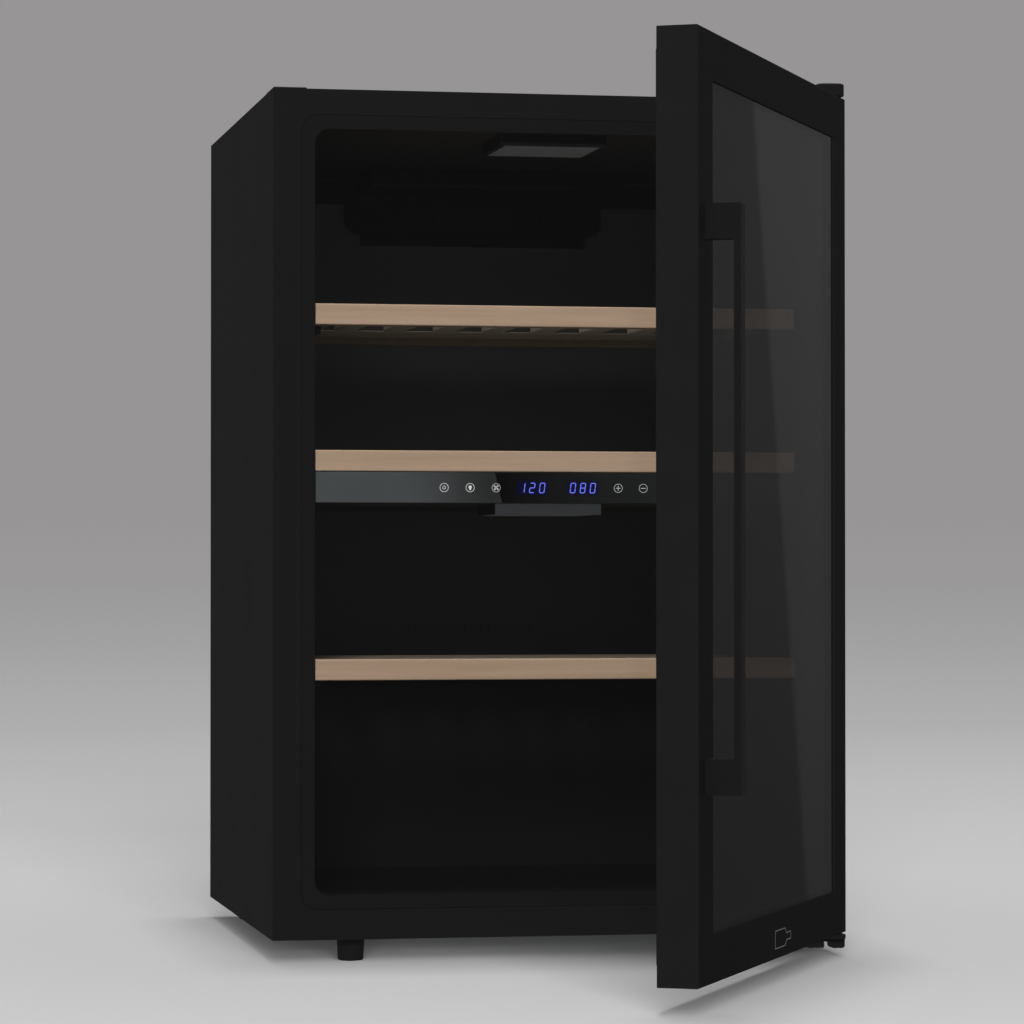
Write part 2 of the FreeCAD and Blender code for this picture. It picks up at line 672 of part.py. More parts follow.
def shelf_slats(level):
    """Slats from the front rail to the rear board, a gap on the middle line, and the board."""
    top = Z0 + level + SHELF_HEIGHT - SLAT_DROP
    low = top - SLAT_THICKNESS
    start = SHELF_FRONT + SHELF_RAIL
    board_front = SHELF_FRONT + SHELF_DEPTH - SHELF_RAIL - REAR_BOARD
    slats = []
    for i in range(-4, 4):
        x = (i + 0.5) * SLAT_PITCH
        slat = block(x - SLAT_WIDTH / 2, x + SLAT_WIDTH / 2, start, board_front, low, top)
        slats.append(rounded(slat, 1.2, 1))
    half = SHELF_WIDTH / 2 - SHELF_RAIL
    board = block(-half, half, board_front, board_front + REAR_BOARD, low, top)
    slats.append(rounded(board, 1.2, 0))
    return group(slats)


def shelf_cross_rails(level):
    """Two side runners and the rear rail, which frame the slats."""
    half = SHELF_WIDTH / 2
    z = Z0 + level
    start = SHELF_FRONT + SHELF_RAIL
    back = SHELF_FRONT + SHELF_DEPTH
    rear = block(-half, half, back - SHELF_RAIL, back, z, z + SHELF_HEIGHT - SLAT_DROP)
    runners = []
    for side in (-1, 1):
        x0, x1 = sorted((side * half, side * (half - SHELF_RAIL)))
        runner = block(x0, x1, start, back - SHELF_RAIL, z, z + SHELF_HEIGHT - SLAT_DROP)
        runners.append(rounded(runner, 1.2, 1))
    return group([rounded(rear, 1.2, 0)] + runners)


# ---------------------------------------------------------------- hinges
def top_hinge_bracket():
    x0, x1 = PIVOT_X - 11, PIVOT_X + 11
    arm = block(x0, x1, PIVOT_Y - 11, 62, Z1, Z1 + 3)
    arm = rounded(arm, 9, 2, lambda p: p.y < 0)
    pin = rod(PIN_RADIUS, (PIVOT_X, PIVOT_Y, Z1 - PIN_LENGTH), (0, 0, 1), PIN_LENGTH + 1)
    holes = [rod(2.6, (x, y, Z1 - 3), (0, 0, 1), 8) for x, y in hinge_screw_places()]
    return without(joined([arm, pin]), holes)


def hinge_screw_places():
    return [(PIVOT_X, 22), (PIVOT_X, 46)]


def top_hinge_cover():
    outer = block(PIVOT_X - 13.8, PIVOT_X + 13.8, PIVOT_Y - 13.8, 68, Z1 + 0.2, Z1 + 12)
    outer = rounded(outer, 10, 2, lambda p: p.y < 0)
    outer = rounded(outer, 3, 2, lambda p: p.y > 0)
    rims = [e for e in outer.Edges if abs(e.CenterOfMass.z - Z1 - 12) < 0.01]
    outer = outer.makeFillet(1.8, rims)
    inner = block(PIVOT_X - 11.8, PIVOT_X + 11.8, PIVOT_Y - 11.8, 66, Z1 - 1, Z1 + 10)
    inner = rounded(inner, 8.5, 2, lambda p: p.y < 0)
    return outer.cut(inner)


def screw(radius, head_radius, head_height, length):
    """A pan-head screw about +Z, with its head's underside at the origin."""
    head = Part.makeCylinder(head_radius, head_height)
    rims = [e for e in head.Edges if abs(e.CenterOfMass.z - head_height) < 0.01 and e.Length > 5]
    head = head.makeFillet(head_height * 0.4, rims)
    shank = Part.makeCylinder(radius, length, FreeCAD.Vector(0, 0, -length))
    cross = [Part.makeBox(4, 0.9, 1.2, FreeCAD.Vector(-2, -0.45, head_height - 1.1)),
             Part.makeBox(0.9, 4, 1.2, FreeCAD.Vector(-0.45, -2, head_height - 1.1))]
    return head.fuse(shank).cut(group(cross))


def hinge_screws():
    screws = []
    for x, y in hinge_screw_places():
        upper = screw(2.4, 4.2, 2.6, 12)
        upper.translate(FreeCAD.Vector(x, y, Z1 + 3))
        screws.append(upper)
    for x, y in bottom_screw_places():
        lower = screw(2.4, 4.2, 2.6, 12)
        lower.rotate(FreeCAD.Vector(0, 0, 0), FreeCAD.Vector(1, 0, 0), 180)
        lower.translate(FreeCAD.Vector(x, y, Z0 - 4))
        screws.append(lower)
    return group(screws)


def bottom_screw_places():
    return [(PIVOT_X - 9, 20), (PIVOT_X - 9, 50)]


def hinge_screw_wells():
    """Clear holes for the hinge screws through the top panel, the base plate and the foam."""
    upper = [rod(2.6, (x, y, Z1 - 12), (0, 0, 1), 14) for x, y in hinge_screw_places()]
    lower = [rod(2.6, (x, y, Z0 - 2), (0, 0, 1), 14) for x, y in bottom_screw_places()]
    return upper + lower


def bottom_hinge_bracket():
    x0, x1 = HALF - 37, HALF - 1
    top = Z0
    arm = block(x0, x1, PIVOT_Y - 12, 62, top - 4, top)
    arm = rounded(arm, 7, 2, lambda p: p.y < 0)
    pin = rod(PIN_RADIUS, (PIVOT_X, PIVOT_Y, top - 2), (0, 0, 1), PIN_LENGTH + 2)
    stop = block(x0, x0 + 15, PIVOT_Y - 3, PIVOT_Y + 11, top - 13, top - 3)
    web = block(x0, x1 - 4, PIVOT_Y + 5, PIVOT_Y + 9, top - 8, top - 3)
    ear = block(x1 - 14, x1, PIVOT_Y - 3, PIVOT_Y + 11, top - 13.6, top - 3)
    ear = ear.makeFillet(3, edges_along(ear, 1, lambda p: p.z < top - 13))
    holes = [rod(2.6, (x, y, top - 10), (0, 0, 1), 15) for x, y in bottom_screw_places()]
    return without(joined([arm, pin, stop, web, ear]), holes)


def hinge_hole_cover():
    """The blanking cover over the unused left-hand hinge holes."""
    cap = block(-HALF + 0.5, -HALF + 33, 1, 60, Z1, Z1 + 1.4)
    cap = rounded(cap, 3, 2)
    rims = [e for e in cap.Edges if abs(e.CenterOfMass.z - Z1 - 1.4) < 0.01]
    return cap.makeChamfer(0.5, rims)


# ---------------------------------------------------------------- door, modelled shut
WINDOW_X = HALF - BORDER_SIDE
WINDOW_Z0 = DOOR_Z0 + BORDER_END
WINDOW_Z1 = DOOR_Z1 - BORDER_END


def window(half_grow, y0, y1):
    return block(-WINDOW_X - half_grow, WINDOW_X + half_grow, y0, y1,
                 WINDOW_Z0 - half_grow, WINDOW_Z1 + half_grow)


def door_frame():
    slab = block(-HALF, HALF, DOOR_OUTER, DOOR_INNER, DOOR_Z0, DOOR_Z1)
    corners = [e for e in slab.Edges if abs(e.CenterOfMass.y - DOOR_OUTER) < 0.01]
    slab = slab.makeFillet(1.5, corners)
    through = window(0, DOOR_OUTER - 1, DOOR_INNER + 1)
    rebate = window(GLASS_OVERLAP + 0.5, DOOR_OUTER + GLASS_RECESS, DOOR_INNER + 1)
    bores = [rod(BUSH_RADIUS, (PIVOT_X, PIVOT_Y, DOOR_Z0 - 1), (0, 0, 1), PIN_LENGTH + 4),
             rod(BUSH_RADIUS, (PIVOT_X, PIVOT_Y, DOOR_Z1 - PIN_LENGTH - 3), (0, 0, 1), PIN_LENGTH + 4)]
    frame = without(slab, [through, rebate] + bores)
    groove = ring(GASKET_INSET + 4, GASKET_WIDTH - 8, DOOR_INNER - 4, DOOR_INNER + 1)
    return without(frame, [groove] + handle_bores())


def ring(inset, width, y0, y1):
    """A rectangular ring on the door's inner face, a given inset from its edges."""
    out_x, in_x = HALF - inset, HALF - inset - width
    outer = block(-out_x, out_x, y0, y1, DOOR_Z0 + inset, DOOR_Z1 - inset)
    inner = block(-in_x, in_x, y0 - 1, y1 + 1, DOOR_Z0 + inset + width, DOOR_Z1 - inset - width)
    return rounded(outer, 6, 1).cut(inner)


def outer_glass():
    front = DOOR_OUTER + GLASS_RECESS
    return window(GLASS_OVERLAP, front, front + GLASS)


def inner_glass():
    back = DOOR_INNER - GLASS_SETBACK
    return window(GLASS_OVERLAP, back - GLASS, back)


def glass_spacer():
    front = DOOR_OUTER + GLASS_RECESS + GLASS
    back = DOOR_INNER - GLASS_SETBACK - GLASS
    return window(GLASS_OVERLAP, front, back).cut(window(-3.5, front - 1, back + 1))


def door_gasket():
    face = -GASKET_CLEARANCE
    bellows = ring(GASKET_INSET, GASKET_WIDTH, DOOR_INNER, face)
    bulge = [e for e in bellows.Edges if abs(e.CenterOfMass.y - face) < 0.01]
    bellows = bellows.makeFillet(1.6, bulge)
    stem = ring(GASKET_INSET + 5, GASKET_WIDTH - 10, DOOR_INNER - 3.5, DOOR_INNER + 0.5)
    return joined([bellows, stem])


def handle_span():
    x0 = -HALF + HANDLE_INSET
    return x0, x0 + HANDLE_WIDTH, Z0 + HANDLE_BOTTOM, Z0 + HANDLE_TOP


def door_handle():
    x0, x1, z0, z1 = handle_span()
    face = DOOR_OUTER
    tip = face - HANDLE_STANDOFF
    bar = block(x0, x1, tip, face, z0, z1)
    grip = block(x0 - 1, x1 + 1, tip + HANDLE_BAR, face + 1, z0 + HANDLE_BLOCK, z1 - HANDLE_BLOCK)
    handle = bar.cut(grip)
    outside = [e for e in handle.Edges if e.CenterOfMass.y < tip + 0.01]
    handle = handle.makeFillet(0.8, outside)
    return without(handle, handle_bores())


def handle_screw_places():
    x0, x1, z0, z1 = handle_span()
    middle = (x0 + x1) / 2
    return [(middle, z0 + HANDLE_BLOCK / 2), (middle, z1 - HANDLE_BLOCK / 2)]


def handle_bores():
    """Holes for the two screws that come through the door frame into the handle's blocks."""
    return [rod(2.4, (x, DOOR_OUTER - 14, z), (0, 1, 0), 30) for x, z in handle_screw_places()] + [
        rod(5.0, (x, DOOR_OUTER + 12, z), (0, 1, 0), 40) for x, z in handle_screw_places()
    ]


def handle_screws():
    screws = []
    for x, z in handle_screw_places():
        piece = screw(2.2, 4.4, 3.0, 24)
        piece.rotate(FreeCAD.Vector(0, 0, 0), FreeCAD.Vector(1, 0, 0), -90)
        piece.translate(FreeCAD.Vector(x, DOOR_OUTER + 12, z))
        screws.append(piece)
    return group(screws)


def door_bushes():
    bushes = []
    for low in (DOOR_Z0, DOOR_Z1 - PIN_LENGTH - 2):
        outer = rod(BUSH_RADIUS, (PIVOT_X, PIVOT_Y, low), (0, 0, 1), PIN_LENGTH + 2)
        bore = rod(PIN_RADIUS + RUNNING_CLEARANCE, (PIVOT_X, PIVOT_Y, low - 1), (0, 0, 1),
                   PIN_LENGTH + 4)
        bushes.append(outer.cut(bore))
    return group(bushes)


def swung_open(shape):
    opened = shape.copy()
    opened.rotate(FreeCAD.Vector(PIVOT_X, PIVOT_Y, 0), UP, REST_OPENING_DEG)
    return opened


# ---------------------------------------------------------------- assembly
def cabinet_nodes():
    wells = hinge_screw_wells() + [foot_well(side) for side in (-1, 1)]
    nodes = {
        "left_side_panel": side_panel(-1),
        "right_side_panel": side_panel(1),
        "top_panel": without(top_panel(), wells),
        "back_panel": back_panel(),
        "front_frame": front_frame(),
        "inner_liner": inner_liner(),
        "insulation_foam": without(insulation_foam(), wells),
        "base_plate": without(base_plate(), wells),
        "machine_room_wall": machine_room_wall(),
        "machine_room_grille": machine_room_grille().cut(inlet_cutout()),
        "compressor": compressor(),
        "compressor_mounts": compressor_mounts(),
        "compressor_terminal_cover": compressor_terminal_cover(),
        "evaporation_tray": evaporation_tray(),
        "condenser_coil": condenser_coil(),
        "power_inlet": power_inlet(),
        "main_control_box": main_control_box(),
        "rear_feet": rear_feet(),
        "zone_divider": zone_divider(),
        "control_panel_glass": control_panel_glass(),
        "control_panel_housing": control_panel_housing(),
        "control_board": control_board(),
        "display_modules": display_modules(),
        "lamp_housings": lamp_housings(),
        "lamp_diffusers": lamp_diffusers(),
        "evaporator_cover": evaporator_cover(),
        "evaporator": evaporator(),
        "evaporator_fan_motor": evaporator_fan_motor(),
        "cover_stays": cover_stays(),
        "drip_channel": drip_channel(),
        "upper_air_panel": upper_air_panel(),
        "lower_air_panel": lower_air_panel(),
        "zone_fan_motor": zone_fan_motor(),
        "temperature_sensors": temperature_sensors(),
        "top_hinge_bracket": top_hinge_bracket(),
        "top_hinge_cover": top_hinge_cover(),
        "hinge_screws": hinge_screws(),
        "bottom_hinge_bracket": bottom_hinge_bracket(),
        "hinge_hole_cover": hinge_hole_cover(),
    }
    for name, level in SHELF_LEVELS.items():
        nodes[name + "_shelf_front_rail"] = shelf_front_rail(level)
        nodes[name + "_shelf_slats"] = shelf_slats(level)
        nodes[name + "_shelf_cross_rails"] = shelf_cross_rails(level)
    return nodes


def moving_nodes():
    return {
        "front_foot_left": front_foot(-1),
        "front_foot_right": front_foot(1),
        "evaporator_fan_rotor": evaporator_fan_rotor(),
        "zone_fan_rotor": zone_fan_rotor(),
    }


def door_nodes():
    shut = {
        "door_frame": door_frame(),
        "outer_glass": outer_glass(),
        "inner_glass": inner_glass(),
        "glass_spacer": glass_spacer(),
        "door_gasket": door_gasket(),
        "door_handle": door_handle(),
        "handle_screws": handle_screws(),
        "door_bushes": door_bushes(),
    }
    return {name: swung_open(shape) for name, shape in shut.items()}


os.makedirs("parts", exist_ok=True)
for name, shape in {**cabinet_nodes(), **moving_nodes(), **door_nodes()}.items():
    if not shape.isValid() or not shape.Solids:
        print("check", name, shape.isValid(), len(shape.Solids))
    shape.exportStep("parts/" + name + ".step")
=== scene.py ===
import json
import math

import bmesh
import bpy
from mathutils import Matrix, Vector


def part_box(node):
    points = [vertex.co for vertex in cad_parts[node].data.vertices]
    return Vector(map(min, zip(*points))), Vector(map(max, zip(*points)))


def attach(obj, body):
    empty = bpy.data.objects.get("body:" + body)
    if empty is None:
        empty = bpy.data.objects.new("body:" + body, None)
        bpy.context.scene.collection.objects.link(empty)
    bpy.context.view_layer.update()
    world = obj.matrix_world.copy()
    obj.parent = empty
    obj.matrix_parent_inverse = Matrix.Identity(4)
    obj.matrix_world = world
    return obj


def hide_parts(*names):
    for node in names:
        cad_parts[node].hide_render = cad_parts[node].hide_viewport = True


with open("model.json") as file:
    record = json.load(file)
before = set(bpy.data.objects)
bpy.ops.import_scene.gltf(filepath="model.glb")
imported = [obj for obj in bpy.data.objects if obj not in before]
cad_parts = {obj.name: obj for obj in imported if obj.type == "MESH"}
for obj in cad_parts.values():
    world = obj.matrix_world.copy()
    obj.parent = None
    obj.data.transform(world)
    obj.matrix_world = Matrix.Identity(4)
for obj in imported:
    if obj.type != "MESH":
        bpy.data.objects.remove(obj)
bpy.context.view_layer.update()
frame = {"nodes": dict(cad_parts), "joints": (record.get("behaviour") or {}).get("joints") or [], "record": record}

# The looks of a free-standing two-zone wine cooler. Metres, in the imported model's frame:
# +X to the right along the cabinet's front, +Y to its back, +Z up, the floor at z = 0.
MM = 0.001
nodes = frame["nodes"]


# The frame holds the door where it stands open; new pieces for it are drawn with it shut.
hinge = next(joint for joint in frame["joints"] if joint["name"] == "door_hinge")
PIVOT = Vector(hinge["pos_m"])
OPENED = Matrix.Rotation(math.radians(-hinge["range_deg"][0]), 3, "Z")


def swung(point):
    return PIVOT + OPENED @ (Vector(point) - PIVOT)


def shut_box(node):
    """A door node's lowest and highest corners, with the door shut."""
    points = [PIVOT + OPENED.inverted() @ (v.co - PIVOT) for v in nodes[node].data.vertices]
    return (Vector(map(min, *points)), Vector(map(max, *points)))


# ---------------------------------------------------------------- node trees
class Paint:
    """One material. Each method adds nodes and returns the socket that carries their result."""

    def __init__(self, name):
        self.material = bpy.data.materials.new(name)
        self.material.use_nodes = True
        self.tree = self.material.node_tree
        self.surface = self.tree.nodes["Principled BSDF"]
        self.place = self.add("ShaderNodeTexCoord").outputs["Object"]

    def add(self, kind, inputs=None, **settings):
        node = self.tree.nodes.new(kind)
        for name, value in settings.items():
            setattr(node, name, value)
        for name, value in (inputs or {}).items():
            self.put(node.inputs[name], value)
        return node

    def put(self, socket, value):
        if isinstance(value, bpy.types.NodeSocket):
            self.tree.links.new(value, socket)
        else:
            socket.default_value = value

    def maths(self, operation, a, b=0.0, clamp=False):
        return self.add("ShaderNodeMath", {0: a, 1: b}, operation=operation, use_clamp=clamp).outputs[0]

    def stretched(self, scale):
        """The object's own coordinates, multiplied along each axis."""
        return self.add("ShaderNodeMapping", {"Vector": self.place, "Scale": scale}).outputs[0]

    def axis(self, index):
        return self.add("ShaderNodeSeparateXYZ", {0: self.place}).outputs[index]

    def noise(self, per_metre, detail=2.0, vector=None, roughness=0.5, distortion=0.0):
        inputs = {"Vector": vector or self.place, "Scale": per_metre, "Detail": detail,
                  "Roughness": roughness, "Distortion": distortion}
        return self.add("ShaderNodeTexNoise", inputs).outputs["Fac"]

    def cells(self, per_metre, vector=None, output="Distance", **settings):
        inputs = {"Vector": vector or self.place, "Scale": per_metre}
        return self.add("ShaderNodeTexVoronoi", inputs, **settings).outputs[output]

    def spread(self, value, low, high, start=0.0, end=1.0, **settings):
        """Maps start..end onto low..high, and holds the ends."""
        inputs = {0: value, 1: start, 2: end, 3: low, 4: high}
        return self.add("ShaderNodeMapRange", inputs, clamp=True, **settings).outputs[0]

    def mixed(self, share, a, b, blend="MIX"):
        node = self.add("ShaderNodeMix", data_type="RGBA", blend_type=blend)
        self.put(node.inputs[0], share)
        self.put(node.inputs[6], a)
        self.put(node.inputs[7], b)
        return node.outputs[2]

    def bump(self, height, depth, strength=1.0, normal=None):
        inputs = {"Height": height, "Distance": depth, "Strength": strength}
        if normal:
            inputs["Normal"] = normal
        return self.add("ShaderNodeBump", inputs).outputs[0]

    def finish(self, **sockets):
        """Sets the shader's sockets; an underscore in a name stands for a space."""
        for name, value in sockets.items():
            self.put(self.surface.inputs[name.replace("_", " ")], value)
        return self.material


def rgb(r, g, b):
    return (r, g, b, 1.0)


def shades(base, step):
    """A darker and a lighter version of one colour."""
    return rgb(*(c * (1 - step) for c in base)), rgb(*(c * (1 + step) for c in base))


# ---------------------------------------------------------------- materials
def powder_coat(name, base, roughness=0.5, peel=0.02, specular=0.3):
    """Baked powder paint: an orange-peel surface, faint mottling and a few dull rubs."""
    p = Paint(name)
    dark, light = shades(base, 0.10)
    mottle = p.noise(28, 3)
    rubs = p.spread(p.noise(9, 4, roughness=0.65), 0.0, 1.0, 0.52, 0.78)
    peel_height = p.noise(620, 2)
    fine_height = p.noise(2600, 1)
    normal = p.bump(fine_height, 0.006 * MM, 0.5, p.bump(peel_height, peel * MM, 0.7))
    rough = p.maths("ADD", p.spread(p.noise(150, 2), roughness - 0.05, roughness + 0.05),
                    p.maths("MULTIPLY", rubs, 0.05))
    return p.finish(Base_Color=p.mixed(mottle, dark, light), Roughness=rough, Normal=normal,
                    Specular_IOR_Level=specular)


def moulded(name, base, roughness=0.5, grain=0.03, specular=0.3):
    """Injection-moulded or formed plastic with a fine spark-eroded grain."""
    p = Paint(name)
    dark, light = shades(base, 0.08)
    grain_height = p.cells(900, feature="SMOOTH_F1")
    waviness = p.noise(22, 2)
    normal = p.bump(waviness, 0.15 * MM, 0.25, p.bump(grain_height, grain * MM, 0.8))
    rough = p.spread(p.noise(60, 3), roughness - 0.06, roughness + 0.06)
    return p.finish(Base_Color=p.mixed(p.noise(35, 3), dark, light), Roughness=rough, Normal=normal,
                    Specular_IOR_Level=specular)


def rubbery(name, base):
    """Soft PVC or rubber: matte, with a bloom of dust in the low spots."""
    p = Paint(name)
    dark, light = shades(base, 0.15)
    bloom = p.spread(p.noise(70, 4, roughness=0.6), 0.0, 1.0, 0.45, 0.7)
    normal = p.bump(p.noise(1500, 2), 0.02 * MM, 0.7)
    return p.finish(Base_Color=p.mixed(bloom, dark, light), Roughness=p.spread(bloom, 0.62, 0.78),
                    Normal=normal, Specular_IOR_Level=0.25)


def galvanised(name, base, tint):
    """Zinc-coated sheet: spangle crystals of slightly different brightness and direction."""
    p = Paint(name)
    dark, light = shades(base, 0.16)
    wobble = p.add("ShaderNodeTexNoise", {"Vector": p.place, "Scale": 60, "Detail": 2})
    shift = p.add("ShaderNodeVectorMath", {0: wobble.outputs["Color"], "Scale": 0.012}, operation="SCALE")
    bent = p.add("ShaderNodeVectorMath", {0: p.place, 1: shift.outputs[0]}, operation="ADD").outputs[0]
    crystal = p.cells(95, bent, "Color")
    tone = p.add("ShaderNodeSeparateColor", {0: crystal}).outputs[0]
    border = p.cells(95, bent, feature="DISTANCE_TO_EDGE")
    lines = p.spread(border, 1.0, 0.0, 0.0, 0.04)
    colour = p.mixed(p.maths("MULTIPLY", lines, 0.35), p.mixed(tone, dark, light), tint)
    normal = p.bump(tone, 0.03 * MM, 0.4, p.bump(p.noise(700, 2), 0.01 * MM, 0.5))
    return p.finish(Base_Color=colour, Metallic=0.75, Roughness=p.spread(tone, 0.42, 0.60),
                    Normal=normal)


def brushed(name, base, along, roughness=0.35):
    """Rolled or turned metal with fine lines along one direction."""
    p = Paint(name)
    dark, light = shades(base, 0.12)
    lines = p.noise(1.0, 3, p.stretched(along))
    return p.finish(Base_Color=p.mixed(lines, dark, light), Metallic=0.9,
                    Roughness=p.spread(lines, roughness - 0.08, roughness + 0.12),
                    Normal=p.bump(lines, 0.01 * MM, 0.6))


def beech(name, split, front_grain, tone=(1.0, 1.0, 1.0), front_shade=0.0):
    """Steamed beech. Ahead of the plane y = split the grain runs along front_grain, behind it along X.

    The faces that look to the front are darkened as painted shade, not at all at 0 and to black at 1."""
    p = Paint(name)
    along = {"X": (14.0, 420.0, 420.0), "Y": (420.0, 14.0, 420.0)}
    fleck_along = {"X": (170.0, 1500.0, 1500.0), "Y": (1500.0, 170.0, 1500.0)}
    behind = p.maths("GREATER_THAN", p.axis(1), split)

    def either(table, make):
        front = make(p.stretched(table[front_grain]))
        if front_grain == "X":
            return front
        rear = make(p.stretched(table["X"]))
        return p.maths("ADD", p.maths("MULTIPLY", rear, behind),
                       p.maths("MULTIPLY", front, p.maths("SUBTRACT", 1.0, behind)))

    fibre = either(along, lambda v: p.noise(1.0, 4, v, 0.55))
    rings = either({k: tuple(c * 0.22 for c in v) for k, v in along.items()},
                   lambda v: p.noise(1.0, 2, v, 0.5, 0.4))
    flecks = either(fleck_along, lambda v: p.cells(1.0, v))
    fleck = p.spread(flecks, 1.0, 0.0, 0.10, 0.24)
    board = p.noise(5, 1)
    pale, warm = rgb(0.630, 0.462, 0.330), rgb(0.515, 0.362, 0.247)
    pink, brown = rgb(0.590, 0.395, 0.285), rgb(0.300, 0.190, 0.120)
    colour = p.mixed(p.spread(rings, 0.0, 1.0, 0.35, 0.65), pale, warm)
    colour = p.mixed(p.spread(board, 0.0, 0.45, 0.4, 0.65), colour, pink)
    colour = p.mixed(p.maths("MULTIPLY", p.spread(fibre, 0.0, 1.0, 0.30, 0.75), 0.35), colour, warm)
    colour = p.mixed(p.maths("MULTIPLY", fleck, 0.40), colour, brown)
    # Painted shade: the darker, cooler tones given for slats and frames stand in for shade under the shelves.
    colour = p.mixed(1.0, colour, rgb(*tone), "MULTIPLY")
    normal = p.add("ShaderNodeTexCoord").outputs["Normal"]
    facing_back = p.add("ShaderNodeSeparateXYZ", {0: normal}).outputs[1]
    # Painted shade: faces that look to the front are darkened towards black.
    painted_shade = p.spread(facing_back, front_shade, 0.0, -0.9, -0.6)
    colour = p.mixed(painted_shade, colour, rgb(0.006, 0.005, 0.004))
    height = p.maths("SUBTRACT", fibre, p.maths("MULTIPLY", fleck, 0.5))
    return p.finish(Base_Color=colour, Roughness=p.spread(fibre, 0.50, 0.62),
                    Normal=p.bump(height, 0.06 * MM, 0.6), Specular_IOR_Level=0.35)


def pane(name, base, passed, slanted):
    """A glass pane that lets light straight through: passed of it face on, less at a slant.

    A ray meets both faces of the pane, so each face lets the root of the share through."""
    p = Paint(name)
    slant = p.add("ShaderNodeLayerWeight").outputs["Facing"]
    mirror = p.maths("ADD", p.maths("MULTIPLY", p.maths("POWER", slant, 5.0), 0.96), 0.04)
    body = p.spread(mirror, math.sqrt(passed), math.sqrt(slanted), 0.04, 0.28)
    clear = p.maths("MULTIPLY", p.maths("SUBTRACT", 1.0, mirror), body)
    smears = p.spread(p.noise(12, 4, roughness=0.6), 0.001, 0.020, 0.55, 0.8)
    dark, light = shades(base, 0.12)
    return p.finish(Base_Color=p.mixed(p.noise(8, 2), dark, light),
                    Alpha=p.maths("SUBTRACT", 1.0, clear), Roughness=smears,
                    Normal=p.bump(p.noise(4, 1), 0.05 * MM, 0.1))


glass_low, glass_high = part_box("control_panel_glass")
STRIP_FRONT = glass_low.y
STRIP_MIDDLE = (glass_low.z + glass_high.z) / 2
REFLECTION_FADE = -150 * MM          # the painted reflection, grey, starts to darken here
REFLECTION_EDGE = -59 * MM           # and gives way to black here, halfway up the strip
REFLECTION_LEAN = 0.24               # the join runs down to the right
DISPLAYS = {"120": -25.6 * MM, "080": 24.8 * MM}    # what each shows, and where its middle is
HAZE = (12 * MM, 18 * MM), (4 * MM, 8.5 * MM)       # its painted blue glow fades over these, along X and Z


def black_glass(name):
    """The control strip: black glass with a painted reflection, grey fading to black at a slanted join.

    Painted glow: the displays' blue light round their digits is painted into the glass."""
    p = Paint(name)
    x, z = p.axis(0), p.axis(2)
    # Painted reflection: grey on the left, black past a slanted join, and lighter again towards the right end.
    lean = p.maths("MULTIPLY", p.maths("SUBTRACT", STRIP_MIDDLE, z), REFLECTION_LEAN)
    across = p.maths("SUBTRACT", x, lean)
    left = p.mixed(p.spread(across, 0.0, 1.0, REFLECTION_FADE, REFLECTION_EDGE - 10 * MM),
                   rgb(0.090, 0.099, 0.101), rgb(0.034, 0.037, 0.037))
    right = p.mixed(p.spread(across, 0.0, 1.0, REFLECTION_EDGE, glass_high.x),
                    rgb(0.0012, 0.0013, 0.0012), rgb(0.038, 0.041, 0.040))
    printed = p.mixed(p.spread(across, 0.0, 1.0, REFLECTION_EDGE - 0.3 * MM, REFLECTION_EDGE + 0.3 * MM),
                      left, right)
    # Painted glow: a blue emission round each display, with the glass under it darkened.
    lit = 0.0
    for centre in DISPLAYS.values():
        beside = p.maths("ABSOLUTE", p.maths("SUBTRACT", x, centre))
        above = p.maths("ABSOLUTE", p.maths("SUBTRACT", z, STRIP_MIDDLE))
        haze = p.maths("MULTIPLY", p.spread(beside, 1.0, 0.0, *HAZE[0]),
                       p.spread(above, 1.0, 0.0, *HAZE[1]))
        lit = p.maths("ADD", lit, haze)
    printed = p.mixed(p.maths("MULTIPLY", lit, 0.8), printed, rgb(0.001, 0.001, 0.001))
    dust = p.mixed(p.noise(30, 2), rgb(0.92, 0.92, 0.92), rgb(1.08, 1.08, 1.08))
    marks = p.spread(p.noise(55, 4, roughness=0.6), 0.0, 1.0, 0.5, 0.72)
    return p.finish(Base_Color=p.mixed(1.0, printed, dust, "MULTIPLY"),
                    Roughness=p.spread(marks, 0.06, 0.14),
                    Normal=p.bump(p.noise(6, 1), 0.03 * MM, 0.1), Specular_IOR_Level=0.4,
                    Emission_Color=p.mixed(lit, rgb(0, 0, 0), rgb(0.0001, 0.0003, 0.020)),
                    Emission_Strength=1.0)


def circuit_board(name):
    """Green solder mask with copper tracks just showing through."""
    p = Paint(name)
    tracks = p.add("ShaderNodeTexBrick", {"Vector": p.place, "Scale": 60.0,
                                          "Mortar Size": 0.012}).outputs["Fac"]
    pads = p.spread(p.cells(260), 1.0, 0.0, 0.10, 0.14)
    colour = p.mixed(tracks, rgb(0.010, 0.075, 0.030), rgb(0.020, 0.130, 0.055))
    colour = p.mixed(pads, colour, rgb(0.45, 0.42, 0.32))
    return p.finish(Base_Color=colour, Roughness=p.spread(pads, 0.35, 0.25),
                    Normal=p.bump(p.maths("ADD", tracks, pads), 0.03 * MM, 0.6))


def lamp_lens(name):
    """Opal lens with fine prismatic ribs across it, and its diodes glowing faintly."""
    p = Paint(name)
    ribs = p.add("ShaderNodeTexWave", {"Vector": p.place, "Scale": 60.0},
                 wave_type="BANDS", bands_direction="X").outputs["Fac"]
    colour = p.mixed(p.noise(90, 2), rgb(0.27, 0.30, 0.325), rgb(0.31, 0.34, 0.365))
    glow = p.mixed(ribs, rgb(0.0145, 0.0155, 0.0165), rgb(0.0165, 0.0175, 0.0185))
    return p.finish(Base_Color=colour, Roughness=p.spread(ribs, 0.30, 0.42),
                    Normal=p.bump(ribs, 0.12 * MM, 0.6), Emission_Strength=1.0, Emission_Color=glow)


